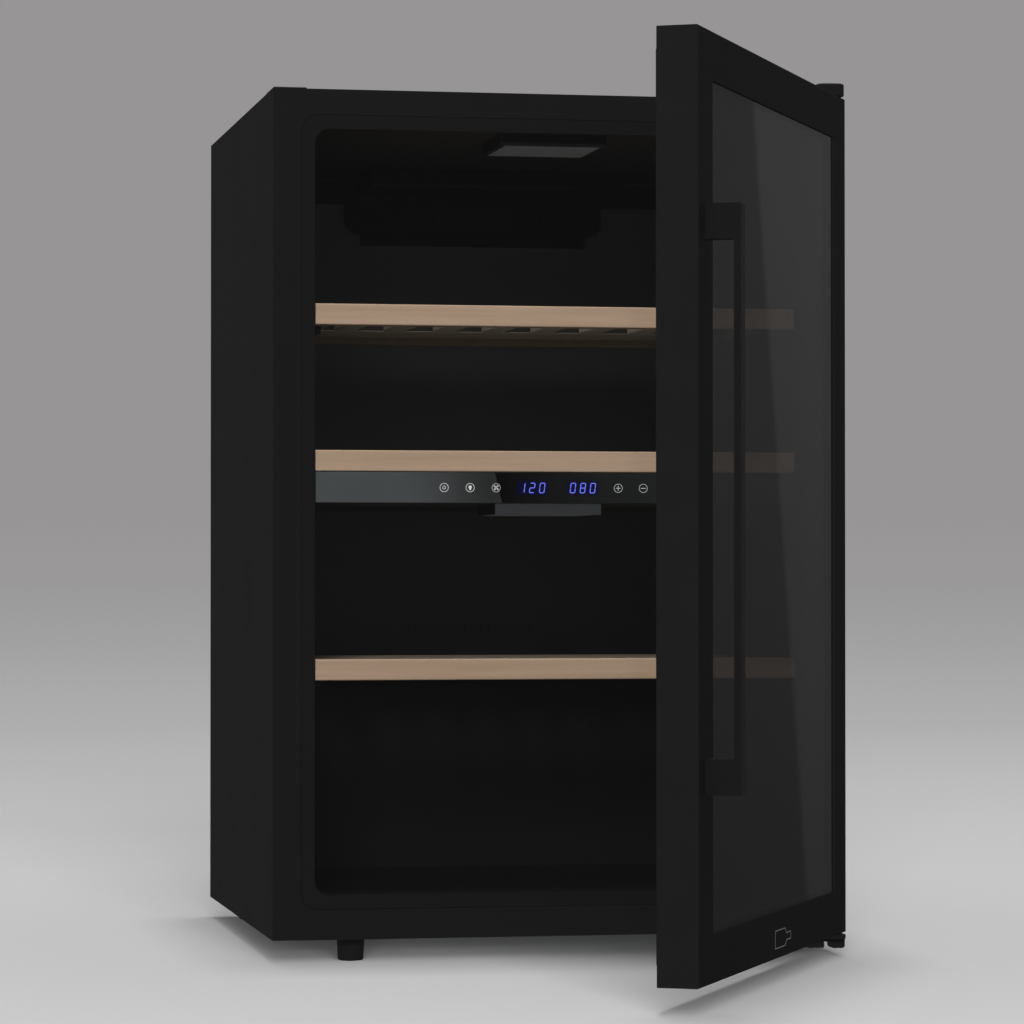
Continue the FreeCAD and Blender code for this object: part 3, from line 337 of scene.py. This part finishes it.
def foamed(name):
    """Cut polyurethane foam: closed cells under a skin."""
    p = Paint(name)
    pores = p.cells(700)
    colour = p.mixed(pores, rgb(0.60, 0.50, 0.28), rgb(0.76, 0.67, 0.43))
    return p.finish(Base_Color=colour, Roughness=p.spread(pores, 0.80, 0.95),
                    Normal=p.bump(pores, 0.4 * MM, 0.8))


def glowing(name, colour, strength):
    """Lit digits and marks, not quite even in brightness."""
    p = Paint(name)
    uneven = p.spread(p.noise(900, 1), 0.85, 1.0)
    return p.finish(Base_Color=p.mixed(uneven, rgb(0, 0, 0.01), rgb(0.01, 0.01, 0.03)),
                    Roughness=p.spread(uneven, 0.3, 0.2),
                    Emission_Color=p.mixed(uneven, rgb(0, 0, 0), colour),
                    Emission_Strength=strength)


BLACK_PAINT = (0.0095, 0.0093, 0.0095)
surfaces = {
    "cabinet_paint": powder_coat("cabinet_paint", BLACK_PAINT),
    "galvanised_sheet": galvanised("galvanised_sheet", (0.40, 0.41, 0.42), rgb(0.25, 0.26, 0.28)),
    "liner_plastic": moulded("liner_plastic", (0.0062, 0.0061, 0.0062), 0.42, specular=0.5),
    "foam": foamed("foam"),
    "black_plastic": moulded("black_plastic", (0.0100, 0.0100, 0.0105), 0.52),
    "compressor_enamel": powder_coat("compressor_enamel", (0.012, 0.012, 0.013), 0.25, 0.03, 0.5),
    "mount_rubber": rubbery("mount_rubber", (0.018, 0.018, 0.018)),
    "tray_plastic": moulded("tray_plastic", (0.55, 0.55, 0.53), 0.45),
    "condenser_paint": powder_coat("condenser_paint", (0.014, 0.014, 0.015), 0.35),
    "panel_glass": black_glass("panel_glass"),
    "board": circuit_board("board"),
    "display": moulded("display", (0.012, 0.012, 0.016), 0.35, 0.01, 0.4),
    "diffuser": lamp_lens("diffuser"),
    "evaporator_aluminium": brushed("evaporator_aluminium", (0.78, 0.79, 0.80), (300, 12, 300)),
    "motor_metal": brushed("motor_metal", (0.50, 0.50, 0.51), (400, 400, 20), 0.32),
    "hinge_steel": powder_coat("hinge_steel", (0.011, 0.011, 0.012), 0.42, 0.015),
    "screw_steel": powder_coat("screw_steel", (0.020, 0.020, 0.021), 0.38, 0.008),
    "door_black": powder_coat("door_black", (0.0146, 0.0146, 0.0148), 0.42, 0.008, 0.006),
    "tinted_glass": pane("tinted_glass", (0.008, 0.008, 0.008), 0.34, 0.25),
    "clear_glass": pane("clear_glass", (0.012, 0.0125, 0.0125), 0.85, 0.75),
    "spacer": moulded("spacer", (0.016, 0.016, 0.016), 0.55),
    "gasket": rubbery("gasket", (0.016, 0.016, 0.0165)),
    "handle_black": powder_coat("handle_black", (0.0095, 0.0095, 0.0097), 0.45, 0.008, 0.2),
    "bush": moulded("bush", (0.55, 0.55, 0.52), 0.40, 0.01),
}
digit_light = glowing("digit_light", rgb(0.18, 0.21, 1.0), 1.0)
icon_light = glowing("icon_light", rgb(0.66, 0.67, 0.67), 1.0)
dim_light = glowing("dim_light", rgb(0.44, 0.45, 0.45), 1.0)


def dress(node, material):
    mesh = nodes[node].data
    mesh.materials.clear()
    mesh.materials.append(material)


SLAT_SHADE_TONE = (0.78, 0.90, 0.95)  # painted shade: the slats behind the front rails are darker and cooler
# Painted shade as well: the frames under the slats are darker and cooler still.
FRAME_SHADE_TONE = (0.70, 0.82, 0.88)
SLAT_FRONT_SHADE = 0.98               # painted shade: the slats' front faces go near black, so the gaps between them look dark from below
REAR_RAIL = 19 * MM             # depth of the cross rail at the back, whose grain runs across
REAR_BOARD = 110 * MM           # and of the board that closes the slats there
slot_of = {s["node"]: s["material_slot"] for s in frame["record"]["subparts"]}
for node, slot in slot_of.items():
    if slot in surfaces:
        dress(node, surfaces[slot])
for shelf in ("top", "middle", "bottom"):
    rail_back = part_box(shelf + "_shelf_front_rail")[1].y
    rear_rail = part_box(shelf + "_shelf_cross_rails")[1].y - REAR_RAIL
    board_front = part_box(shelf + "_shelf_slats")[1].y - REAR_BOARD
    dress(shelf + "_shelf_front_rail", beech(shelf + "_rail_beech", rail_back, "X"))
    dress(shelf + "_shelf_slats", beech(shelf + "_slat_beech", board_front, "Y", SLAT_SHADE_TONE, SLAT_FRONT_SHADE))
    dress(shelf + "_shelf_cross_rails", beech(shelf + "_frame_beech", rear_rail, "Y", FRAME_SHADE_TONE))


# ---------------------------------------------------------------- control strip
def new_piece(name, mesh, material, body):
    mesh.normal_update()
    data = bpy.data.meshes.new(name)
    mesh.to_mesh(data)
    mesh.free()
    data.materials.append(material)
    piece = bpy.data.objects.new(name, data)
    bpy.context.scene.collection.objects.link(piece)
    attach(piece, body)
    return piece


INLAY = 0.06 * MM               # how far the lit parts stand proud of the control glass
ARC_STEP = 7.5                  # degrees in one plate of a ring
DISC_STEPS = 28


def slab(mesh, outline):
    """Adds a thin plate with that outline, points (x, z), on the front of the control glass."""
    back = [mesh.verts.new((x, STRIP_FRONT + INLAY, z)) for x, z in outline]
    front = [mesh.verts.new((x, STRIP_FRONT - INLAY, z)) for x, z in outline]
    area = sum(a[0] * b[1] - b[0] * a[1] for a, b in zip(outline, outline[1:] + outline[:1]))
    if area < 0:
        back.reverse()
        front.reverse()
    mesh.faces.new(front)
    mesh.faces.new(back[::-1])
    for i in range(len(outline)):
        j = (i + 1) % len(outline)
        mesh.faces.new((front[j], front[i], back[i], back[j]))


def ring_plate(mesh, x, z, radius, line, start=0.0, end=360.0):
    """A band of a circle, as short plates side by side."""
    steps = int((end - start) / ARC_STEP)
    inner, outer = radius - line / 2, radius + line / 2
    for i in range(steps):
        a0 = math.radians(start + (end - start) * i / steps)
        a1 = math.radians(start + (end - start) * (i + 1) / steps)
        slab(mesh, [(x + inner * math.cos(a0), z + inner * math.sin(a0)),
                    (x + outer * math.cos(a0), z + outer * math.sin(a0)),
                    (x + outer * math.cos(a1), z + outer * math.sin(a1)),
                    (x + inner * math.cos(a1), z + inner * math.sin(a1))])


def disc_plate(mesh, x, z, radius):
    angles = [2 * math.pi * i / DISC_STEPS for i in range(DISC_STEPS)]
    slab(mesh, [(x + radius * math.cos(a), z + radius * math.sin(a)) for a in angles])


def bar_plate(mesh, x, z, half_x, half_z):
    slab(mesh, [(x - half_x, z - half_z), (x + half_x, z - half_z),
                (x + half_x, z + half_z), (x - half_x, z + half_z)])


DIGIT_HEIGHT = 10.2 * MM
DIGIT_WIDTH = 5.6 * MM
DIGIT_PITCH = 9.9 * MM
STROKE = 0.92 * MM              # width of a digit's stroke
STROKE_GAP = 0.10 * MM          # between its tip and the digit's corner
SLANT = math.tan(math.radians(7))
# Which of the segments a..g are lit: a on top, then clockwise, g in the middle.
LIT = {"0": "abcdef", "1": "bc", "2": "abdeg", "8": "abcdefg"}


def segment(mesh, centre_x, ends):
    """One pointed stroke between two corners of a digit, leaning with the digit."""
    (x0, z0), (x1, z1) = ends
    along = Vector((x1 - x0, z1 - z0))
    step = along.normalized()
    side = Vector((-step.y, step.x)) * (STROKE / 2)
    start = Vector((x0, z0)) + step * STROKE_GAP
    end = Vector((x1, z1)) - step * STROKE_GAP
    taper = step * (STROKE / 2)
    outline = [start, start + taper - side, end - taper - side, end, end - taper + side,
               start + taper + side]
    slab(mesh, [(centre_x + q.x + q.y * SLANT, STRIP_MIDDLE + q.y) for q in outline])


def digit(mesh, centre_x, character):
    w, h = (DIGIT_WIDTH - STROKE) / 2, (DIGIT_HEIGHT - STROKE) / 2
    corners = {"a": ((-w, h), (w, h)), "b": ((w, h), (w, 0)), "c": ((w, 0), (w, -h)),
               "d": ((-w, -h), (w, -h)), "e": ((-w, 0), (-w, -h)), "f": ((-w, h), (-w, 0)),
               "g": ((-w, 0), (w, 0))}
    for name in LIT[character]:
        segment(mesh, centre_x, corners[name])


def readouts():
    mesh = bmesh.new()
    for text, centre in DISPLAYS.items():
        for i, character in enumerate(text):
            digit(mesh, centre + (i - 1) * DIGIT_PITCH, character)
    new_piece("display_digits", mesh, digit_light, "cabinet")


RING_RADIUS = 4.1 * MM          # the ring round each touch key
LINE = 0.45 * MM                # and its line
SIGN_REACH = 2.4 * MM           # half the length of the strokes of plus and minus
SIGN_HALF = 0.33 * MM           # half their width
UPRIGHT_MIDDLE = 1.37 * MM      # how far the middles of the plus's upright pieces are from its own
POWER_RADIUS = 1.5 * MM
BULB_RADIUS = 1.6 * MM
HUB_RADIUS = 0.6 * MM
BLADE_REACH = 3.2 * MM
BLADE_BULGE = 1.7 * MM
BLADE_STEPS = 8


def power_mark(mesh, x, z):
    """A ring open at the top, with a stroke in the opening."""
    ring_plate(mesh, x, z, POWER_RADIUS, LINE, 125, 415)
    bar_plate(mesh, x, z + 1.3 * MM, LINE / 2, 0.9 * MM)


def bulb_mark(mesh, x, z):
    """A round bulb on a cap that narrows downwards."""
    disc_plate(mesh, x, z + 0.5 * MM, BULB_RADIUS)
    slab(mesh, [(x - 0.7 * MM, z - 2.3 * MM), (x + 0.7 * MM, z - 2.3 * MM),
                (x + 1.1 * MM, z - 0.7 * MM), (x - 1.1 * MM, z - 0.7 * MM)])


def fan_mark(mesh, x, z):
    """Four curved blades round a hub."""
    disc_plate(mesh, x, z, HUB_RADIUS)
    shares = [i / BLADE_STEPS for i in range(BLADE_STEPS + 1)]
    blade = [Vector((BLADE_REACH * t, BLADE_BULGE * math.sin(math.pi * t * 0.82))) for t in shares]
    blade.append(Vector((0.75 * BLADE_REACH, 0)))
    for turn in range(4):
        spin = Matrix.Rotation(math.radians(90 * turn + 25), 2)
        slab(mesh, [Vector((x, z)) + spin @ q for q in blade])


def minus_mark(mesh, x, z):
    bar_plate(mesh, x, z, SIGN_REACH, SIGN_HALF)


def plus_mark(mesh, x, z):
    """The upright is in two pieces, so that no plates lie over each other."""
    minus_mark(mesh, x, z)
    for way in (1, -1):
        bar_plate(mesh, x, z + way * UPRIGHT_MIDDLE, SIGN_HALF, SIGN_REACH - UPRIGHT_MIDDLE)


# Each key's name, its place along the strip, its mark and how bright it is.
TOUCH_KEYS = [("power_key", -112.6 * MM, power_mark, icon_light),
              ("lamp_key", -87.0 * MM, bulb_mark, icon_light),
              ("fan_key", -61.3 * MM, fan_mark, dim_light),
              ("plus_key", 60.1 * MM, plus_mark, dim_light),
              ("minus_key", 85.2 * MM, minus_mark, dim_light)]


def touch_keys():
    for name, x, mark, light in TOUCH_KEYS:
        mesh = bmesh.new()
        ring_plate(mesh, x, STRIP_MIDDLE, RING_RADIUS, LINE)
        mark(mesh, x, STRIP_MIDDLE)
        new_piece(name, mesh, light, "cabinet")


readouts()
touch_keys()


# ---------------------------------------------------------------- door gasket
# The bellows' outline, in millimetres: inwards from the gasket's outer edge, and out from the door.
GASKET_OUTLINE = [(1.2, 0.0), (0.2, 0.7), (1.5, 1.5), (0.2, 2.4), (1.3, 3.2), (0.7, 3.9), (1.0, 4.8),
                  (2.2, 5.5), (7.3, 5.5), (7.6, 5.1), (8.4, 5.1), (8.7, 5.5), (13.4, 5.5),
                  (14.8, 4.9), (15.2, 4.0), (14.5, 3.2), (15.8, 2.4), (14.5, 1.5), (15.8, 0.7),
                  (14.8, 0.0)]


def gasket():
    """A bellows with a magnet bar in front, cut and welded on the mitre at each corner."""
    low, high = shut_box("door_gasket")
    face = shut_box("door_frame")[1].y
    mesh = bmesh.new()
    rings = []
    for sx, sz in ((-1, -1), (1, -1), (1, 1), (-1, 1)):
        x, z = (high.x if sx > 0 else low.x), (high.z if sz > 0 else low.z)
        rings.append([mesh.verts.new(swung((x - sx * inward * MM, face + out * MM, z - sz * inward * MM)))
                      for inward, out in GASKET_OUTLINE])
    for ring, following in zip(rings, rings[1:] + rings[:1]):
        for i in range(len(ring)):
            j = (i + 1) % len(ring)
            mesh.faces.new((ring[i], following[i], following[j], ring[j]))
    bmesh.ops.recalc_face_normals(mesh, faces=mesh.faces)
    piece = new_piece("gasket_bellows", mesh, surfaces["gasket"], "door")
    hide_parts("door_gasket")


gasket()


# ---------------------------------------------------------------- screws on the back
HEAD_RADIUS = 3.6 * MM
HEAD_STEPS = 48
HEAD_TURN = 0.7                 # radians from one cross recess to the next
RECESS_FLOOR = 0.8, 0.2         # the recess narrows to this share, at this height in millimetres
# Each ring of a head: its share of the radius, and its height in millimetres.
HEAD_RINGS = [(1.0, -0.4), (1.0, 0.35), (0.93, 0.62), (0.78, 0.85), (0.62, 0.98)]


def cross_radius(angle):
    """How far the edge of the cross recess is from the screw's axis, in that direction."""
    half_width, reach, tiny = 0.45 * MM, 1.7 * MM, 1e-6
    c, s = max(abs(math.cos(angle)), tiny), max(abs(math.sin(angle)), tiny)
    return max(min(reach / c, half_width / s), min(reach / s, half_width / c))


def screw_head(mesh, x, y, z, turn):
    """A pan head facing the back, with a cross recess."""
    angles = [2 * math.pi * i / HEAD_STEPS for i in range(HEAD_STEPS)]
    rings = [[(HEAD_RADIUS * share, height)] * HEAD_STEPS for share, height in HEAD_RINGS]
    rings.append([(cross_radius(a - turn), 1.0) for a in angles])
    rings.append([(cross_radius(a - turn) * RECESS_FLOOR[0], RECESS_FLOOR[1]) for a in angles])
    loops = [[mesh.verts.new((x + r * math.cos(a), y + h * MM, z + r * math.sin(a)))
              for (r, h), a in zip(ring, angles)] for ring in rings]
    for a, b in zip(loops, loops[1:]):
        for i in range(HEAD_STEPS):
            j = (i + 1) % HEAD_STEPS
            mesh.faces.new((a[i], b[i], b[j], a[j]))
    mesh.faces.new(loops[-1])


# How far the screws sit inside the edges of the back panel and of the grille below it.
PANEL_SIDE, PANEL_FOOT, PANEL_TOP = 9 * MM, 25 * MM, 14 * MM
TOP_SCREW = 80 * MM             # two more along the panel's top, this far from the middle
GRILLE_CORNER, GRILLE_RIM = 7 * MM, 4.5 * MM


def back_screws():
    mesh = bmesh.new()
    low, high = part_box("back_panel")
    places = [(x, z) for x in (low.x + PANEL_SIDE, high.x - PANEL_SIDE)
              for z in (low.z + PANEL_FOOT, (low.z + high.z) / 2, high.z - PANEL_TOP)]
    places += [(x, high.z - PANEL_TOP) for x in (-TOP_SCREW, TOP_SCREW)]
    cover_low, cover_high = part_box("machine_room_grille")
    places += [(x, z) for x in (cover_low.x + GRILLE_CORNER, cover_high.x - GRILLE_CORNER)
               for z in (cover_low.z + GRILLE_CORNER, cover_high.z - GRILLE_CORNER)]
    places += [(0.0, cover_high.z - GRILLE_RIM)]
    for i, (x, z) in enumerate(places):
        screw_head(mesh, x, high.y, z, HEAD_TURN * i)
    bmesh.ops.recalc_face_normals(mesh, faces=mesh.faces)
    new_piece("back_screws", mesh, surfaces["screw_steel"], "cabinet")


back_screws()


# ---------------------------------------------------------------- mark on the door
# A bottle lying down, in millimetres from its middle: the body's corners, then the neck's.
BOTTLE = [(-30, -8), (8, -8), (13, -3.2), (30, -3.2), (30, 3.2), (13, 3.2), (8, 8), (-30, 8)]
BOTTLE_X = 20 * MM
BOTTLE_LINE = 0.9 * MM
PRINT_PROUD = 0.05 * MM


def door_mark():
    """The bottle's outline, printed halfway up the door's lower border."""
    low = shut_box("door_frame")[0]
    middle = (low.z + shut_box("outer_glass")[0].z) / 2
    mesh = bmesh.new()
    points = [Vector((BOTTLE_X + x * MM, middle + z * MM)) for x, z in BOTTLE]
    for a, b in zip(points, points[1:] + points[:1]):
        along = (b - a).normalized() * BOTTLE_LINE / 2
        side = Vector((-along.y, along.x))
        corners = [a - along - side, b + along - side, b + along + side, a - along + side]
        back = [mesh.verts.new(swung((q.x, low.y + PRINT_PROUD, q.y))) for q in corners]
        front = [mesh.verts.new(swung((q.x, low.y - PRINT_PROUD, q.y))) for q in corners]
        mesh.faces.new(front)
        mesh.faces.new(back[::-1])
        for i in range(4):
            j = (i + 1) % 4
            mesh.faces.new((front[j], front[i], back[i], back[j]))
    bmesh.ops.recalc_face_normals(mesh, faces=mesh.faces)
    new_piece("door_mark", mesh, print_grey, "door")


print_grey = powder_coat("print_grey", (0.42, 0.42, 0.42), 0.5, 0.004)
door_mark()


# ---------------------------------------------------------------- studio
FILM_BLACK = 0.0037             # the darkest tone of the picture
BACKDROP = rgb(0.3067, 0.2977, 0.3022)
AMBIENT = 0.10                  # what the room gives matte surfaces from all sides
FLAG = 0.035                    # what gloss mirrors towards the back right: black flags
BACK_WALL = 0.062               # towards the back left
FRONT_WALL = 0.085              # and towards the front
EYE = Vector((-0.7682, -3.7580, 0.3756))
LENS = 138.41                   # millimetres, on a sensor 36 wide
TILT, TURN = 90.878, -10.878    # degrees: nearly level, turned a little to the right
FLOOR_RADIUS = 95
FADE_START, FADE_END = 2.0, 9.0     # metres over which the lit floor gives way to a glowing one
HORIZON = 0.31                  # how bright the glowing floor is far away
HORIZON_GAIN = 0.75             # and how much brighter at one metre, in inverse proportion beyond


def floor():
    """A pale floor that fades to the backdrop's grey with distance."""
    mesh = bmesh.new()
    bmesh.ops.create_circle(mesh, cap_ends=True, segments=96, radius=FLOOR_RADIUS)
    data = bpy.data.meshes.new("studio_floor")
    mesh.to_mesh(data)
    mesh.free()
    ground = bpy.data.objects.new("studio_floor", data)
    bpy.context.scene.collection.objects.link(ground)
    p = Paint("studio_floor")
    reach = p.add("ShaderNodeVectorMath", {0: p.place}, operation="LENGTH").outputs["Value"]
    fading = p.spread(reach, 0.0, 1.0, FADE_START, FADE_END, interpolation_type="SMOOTHSTEP")
    # Painted shade: the floor's glow is weakest within 0.3 m of the middle, under the cabinet, and grows out to
    # 1.2 m.
    near = p.spread(reach, 0.010, 0.060, 0.3, 1.2)
    far = p.maths("ADD", p.maths("DIVIDE", HORIZON_GAIN, p.maths("MAXIMUM", reach, 1.0)), HORIZON)
    level = p.maths("ADD", p.maths("MULTIPLY", near, p.maths("SUBTRACT", 1.0, fading)),
                    p.maths("MULTIPLY", far, fading))
    pale = p.mixed(p.noise(1.5, 2), rgb(0.79, 0.79, 0.79), rgb(0.81, 0.81, 0.81))
    p.finish(Base_Color=p.mixed(fading, pale, rgb(0.01, 0.01, 0.01)), Roughness=0.9,
             Specular_IOR_Level=0.0, Emission_Color=rgb(1, 1, 1), Emission_Strength=level)
    data.materials.append(p.material)
    ground.visible_glossy = False
    ground.visible_diffuse = False
    return ground


def soft_box(name, place, target, width, height, power, glossy=True):
    light = bpy.data.lights.new(name, "AREA")
    light.shape = "RECTANGLE"
    light.size, light.size_y = width, height
    light.energy = power
    lamp = bpy.data.objects.new(name, light)
    bpy.context.scene.collection.objects.link(lamp)
    lamp.location = place
    lamp.rotation_euler = (Vector(target) - Vector(place)).to_track_quat("-Z", "Y").to_euler()
    lamp.visible_camera = False
    lamp.visible_glossy = glossy
    return lamp


def linked(name, things, state):
    """A list for a lamp that leaves these things out (EXCLUDE), or keeps to them alone (INCLUDE)."""
    chosen = bpy.data.collections.new(name)
    for thing in things:
        chosen.objects.link(thing)
    for member in chosen.collection_objects:
        member.light_linking.link_state = state
    return chosen


def aim(lamp, things, state):
    """Keeps a lamp's light off these things, or on them alone."""
    lamp.light_linking.receiver_collection = linked(lamp.name + "_lights", things, state)


# Lights for the floor alone, from low in front to straight above: name, place, target, width, height
# and power. Between them the shadow is deep under the cabinet and softens away from it.
FLOOR_LIGHTS = [("floor_low", (-1.9, -17.0, 2.1), (0, 0, 0), 8.0, 2.6, 2950),
                ("floor_middle", (-1.8, -15.0, 6.5), (0, 0, 0), 7.0, 5.5, 1010),
                ("floor_high", (-1.0, -8.0, 12.0), (0, 0, 0), 6.0, 6.0, 207),
                ("floor_top", (0.06, 1.0, 12.0), (0.06, 1.0, 0), 1.8, 2.0, 350)]


def inside_light():
    """A weak light from the opening on the lining alone, so that its far wall can be told."""
    low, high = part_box("inner_liner")
    middle, height = (low.x + high.x) / 2, 0.56
    lamp = soft_box("inside_light", (middle, 25 * MM, height), (middle, 1, height),
                    0.44, 0.46, 0.55, glossy=False)
    lamp.data.spread = math.radians(80)
    lining = ["inner_liner", "upper_air_panel", "lower_air_panel", "zone_divider"]
    aim(lamp, [nodes[name] for name in lining], "INCLUDE")


def under_light():
    """A weak light from inside the upper zone on the undersides of the top shelf's slats alone."""
    low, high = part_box("top_shelf_slats")
    middle = (low.x + high.x) / 2
    lamp = soft_box("under_light", (middle, low.y - 120 * MM, low.z - 70 * MM),
                    (middle, high.y, low.z), 0.44, 0.05, 0.20, glossy=False)
    lamp.data.color = (0.65, 0.87, 1.0)
    aim(lamp, [nodes["top_shelf_slats"]], "INCLUDE")


CARD_EDGE_TOP = 154 * MM        # the card's edge in the glass, from the pane's free side
CARD_EDGE_BOTTOM = 368 * MM
CARD = 0.158                    # how bright the card is
CARD_SURROUND = 0.095           # and what is beside it


def card_plane():
    """The plane, through the lens's mirror image in the door's glass, of the white card's edge."""
    low, high = shut_box("outer_glass")
    face = swung((0, low.y, 0))
    out = OPENED @ Vector((0, -1, 0))
    mirrored = EYE - 2 * (EYE - face).dot(out) * out
    top = swung((low.x + CARD_EDGE_TOP, low.y, high.z)) - mirrored
    bottom = swung((low.x + CARD_EDGE_BOTTOM, low.y, low.z)) - mirrored
    return top.cross(bottom).normalized()


def backdrop():
    """Grey to the eye, an even light on matte surfaces, and flags and a card to gloss."""
    world = bpy.data.worlds.new("studio")
    world.use_nodes = True
    tree = world.node_tree

    def node(kind, **settings):
        made = tree.nodes.new(kind)
        for name, value in settings.items():
            setattr(made, name, value)
        return made

    def ramp(value, start, end, low, high):
        made = node("ShaderNodeMapRange", clamp=True)
        tree.links.new(value, made.inputs[0])
        for index, number in zip((1, 2, 3, 4), (start, end, low, high)):
            made.inputs[index].default_value = number
        return made.outputs[0]

    def blended(share, a, b):
        made = node("ShaderNodeMix")
        tree.links.new(share, made.inputs[0])
        for socket, value in ((made.inputs[2], a), (made.inputs[3], b)):
            if isinstance(value, bpy.types.NodeSocket):
                tree.links.new(value, socket)
            else:
                socket.default_value = value
        return made.outputs[0]

    direction = node("ShaderNodeTexCoord").outputs["Generated"]
    split = node("ShaderNodeSeparateXYZ")
    tree.links.new(direction, split.inputs[0])
    side = node("ShaderNodeVectorMath", operation="DOT_PRODUCT")
    tree.links.new(direction, side.inputs[0])
    side.inputs[1].default_value = card_plane()
    # What gloss mirrors: to the right the card and what is beside it, dimmer below the horizon; to the
    # left the back wall, with black flags between; and towards the front a wall of its own.
    card = blended(ramp(side.outputs["Value"], -0.0006, 0.0006, 0.0, 1.0), CARD_SURROUND, CARD)
    falling = node("ShaderNodeMath", operation="MULTIPLY")
    tree.links.new(card, falling.inputs[0])
    tree.links.new(ramp(split.outputs[2], -0.09, 0.10, 0.50, 1.0), falling.inputs[1])
    mirrored = ramp(split.outputs[0], 0.30, 0.0, FLAG, BACK_WALL)
    mirrored = blended(ramp(split.outputs[0], 0.35, 0.50, 0.0, 1.0), mirrored, falling.outputs[0])
    mirrored = blended(ramp(split.outputs[1], 0.2, -0.2, 0.0, 1.0), mirrored, FRONT_WALL)

    path = node("ShaderNodeLightPath")
    shown = tree.nodes["Background"]
    shown.inputs["Color"].default_value = BACKDROP
    # To the eye the backdrop is a little lighter at the horizon, where it meets the floor.
    tree.links.new(ramp(split.outputs[2], 0.0, 0.014, 1.05, 1.0), shown.inputs["Strength"])
    for output, level in (("Is Diffuse Ray", AMBIENT), ("Is Glossy Ray", mirrored)):
        other = node("ShaderNodeBackground")
        other.inputs["Color"].default_value = rgb(1, 1, 1)
        if isinstance(level, bpy.types.NodeSocket):
            tree.links.new(level, other.inputs["Strength"])
        else:
            other.inputs["Strength"].default_value = level
        choose = node("ShaderNodeMixShader")
        tree.links.new(path.outputs[output], choose.inputs[0])
        tree.links.new(shown.outputs[0], choose.inputs[1])
        tree.links.new(other.outputs[0], choose.inputs[2])
        shown = choose
    tree.links.new(shown.outputs[0], tree.nodes["World Output"].inputs["Surface"])
    bpy.context.scene.world = world


def camera():
    """A long lens at handle height, a little to the left of the cabinet."""
    data = bpy.data.cameras.new("camera")
    data.sensor_width = 36.0
    data.lens = LENS
    view = bpy.data.objects.new("camera", data)
    bpy.context.scene.collection.objects.link(view)
    view.location = EYE
    view.rotation_euler = (math.radians(TILT), 0.0, math.radians(TURN))
    bpy.context.scene.camera = view


def film():
    """A plain response whose blacks are lifted a little, as in a matt print."""
    settings = bpy.context.scene.view_settings
    settings.view_transform = "Standard"
    settings.look = "None"
    settings.use_curve_mapping = True
    curves = settings.curve_mapping
    curves.use_clip = False
    combined = curves.curves[3]     # after red, green and blue
    combined.points[0].location = (0.0, FILM_BLACK)
    combined.points[1].location = (1.0, 1.0)
    for point in combined.points:
        point.handle_type = "VECTOR"
    curves.update()


backdrop()
ground = floor()
top = soft_box("top_box", (0.25, 0.5, 6.0), (0.25, 0.5, 0), 4.2, 4.2, 244)
key = soft_box("front_key", (-1.8, -6.5, 3.0), (0, 0.2, 0.45), 1.6, 1.2, 270, glossy=False)
for lamp in (top, key):
    aim(lamp, [ground], "EXCLUDE")
# The door throws no shadow of the key, or the shelves behind it would be too dark.
shadowless = [nodes[name] for name in frame["record"]["behaviour"]["bodies"]["door"]]
key.light_linking.blocker_collection = linked("key_shadows", shadowless, "EXCLUDE")
for name, place, target, width, height, power in FLOOR_LIGHTS:
    aim(soft_box(name, place, target, width, height, power, glossy=False), [ground], "INCLUDE")
inside_light()
under_light()
camera()
film()
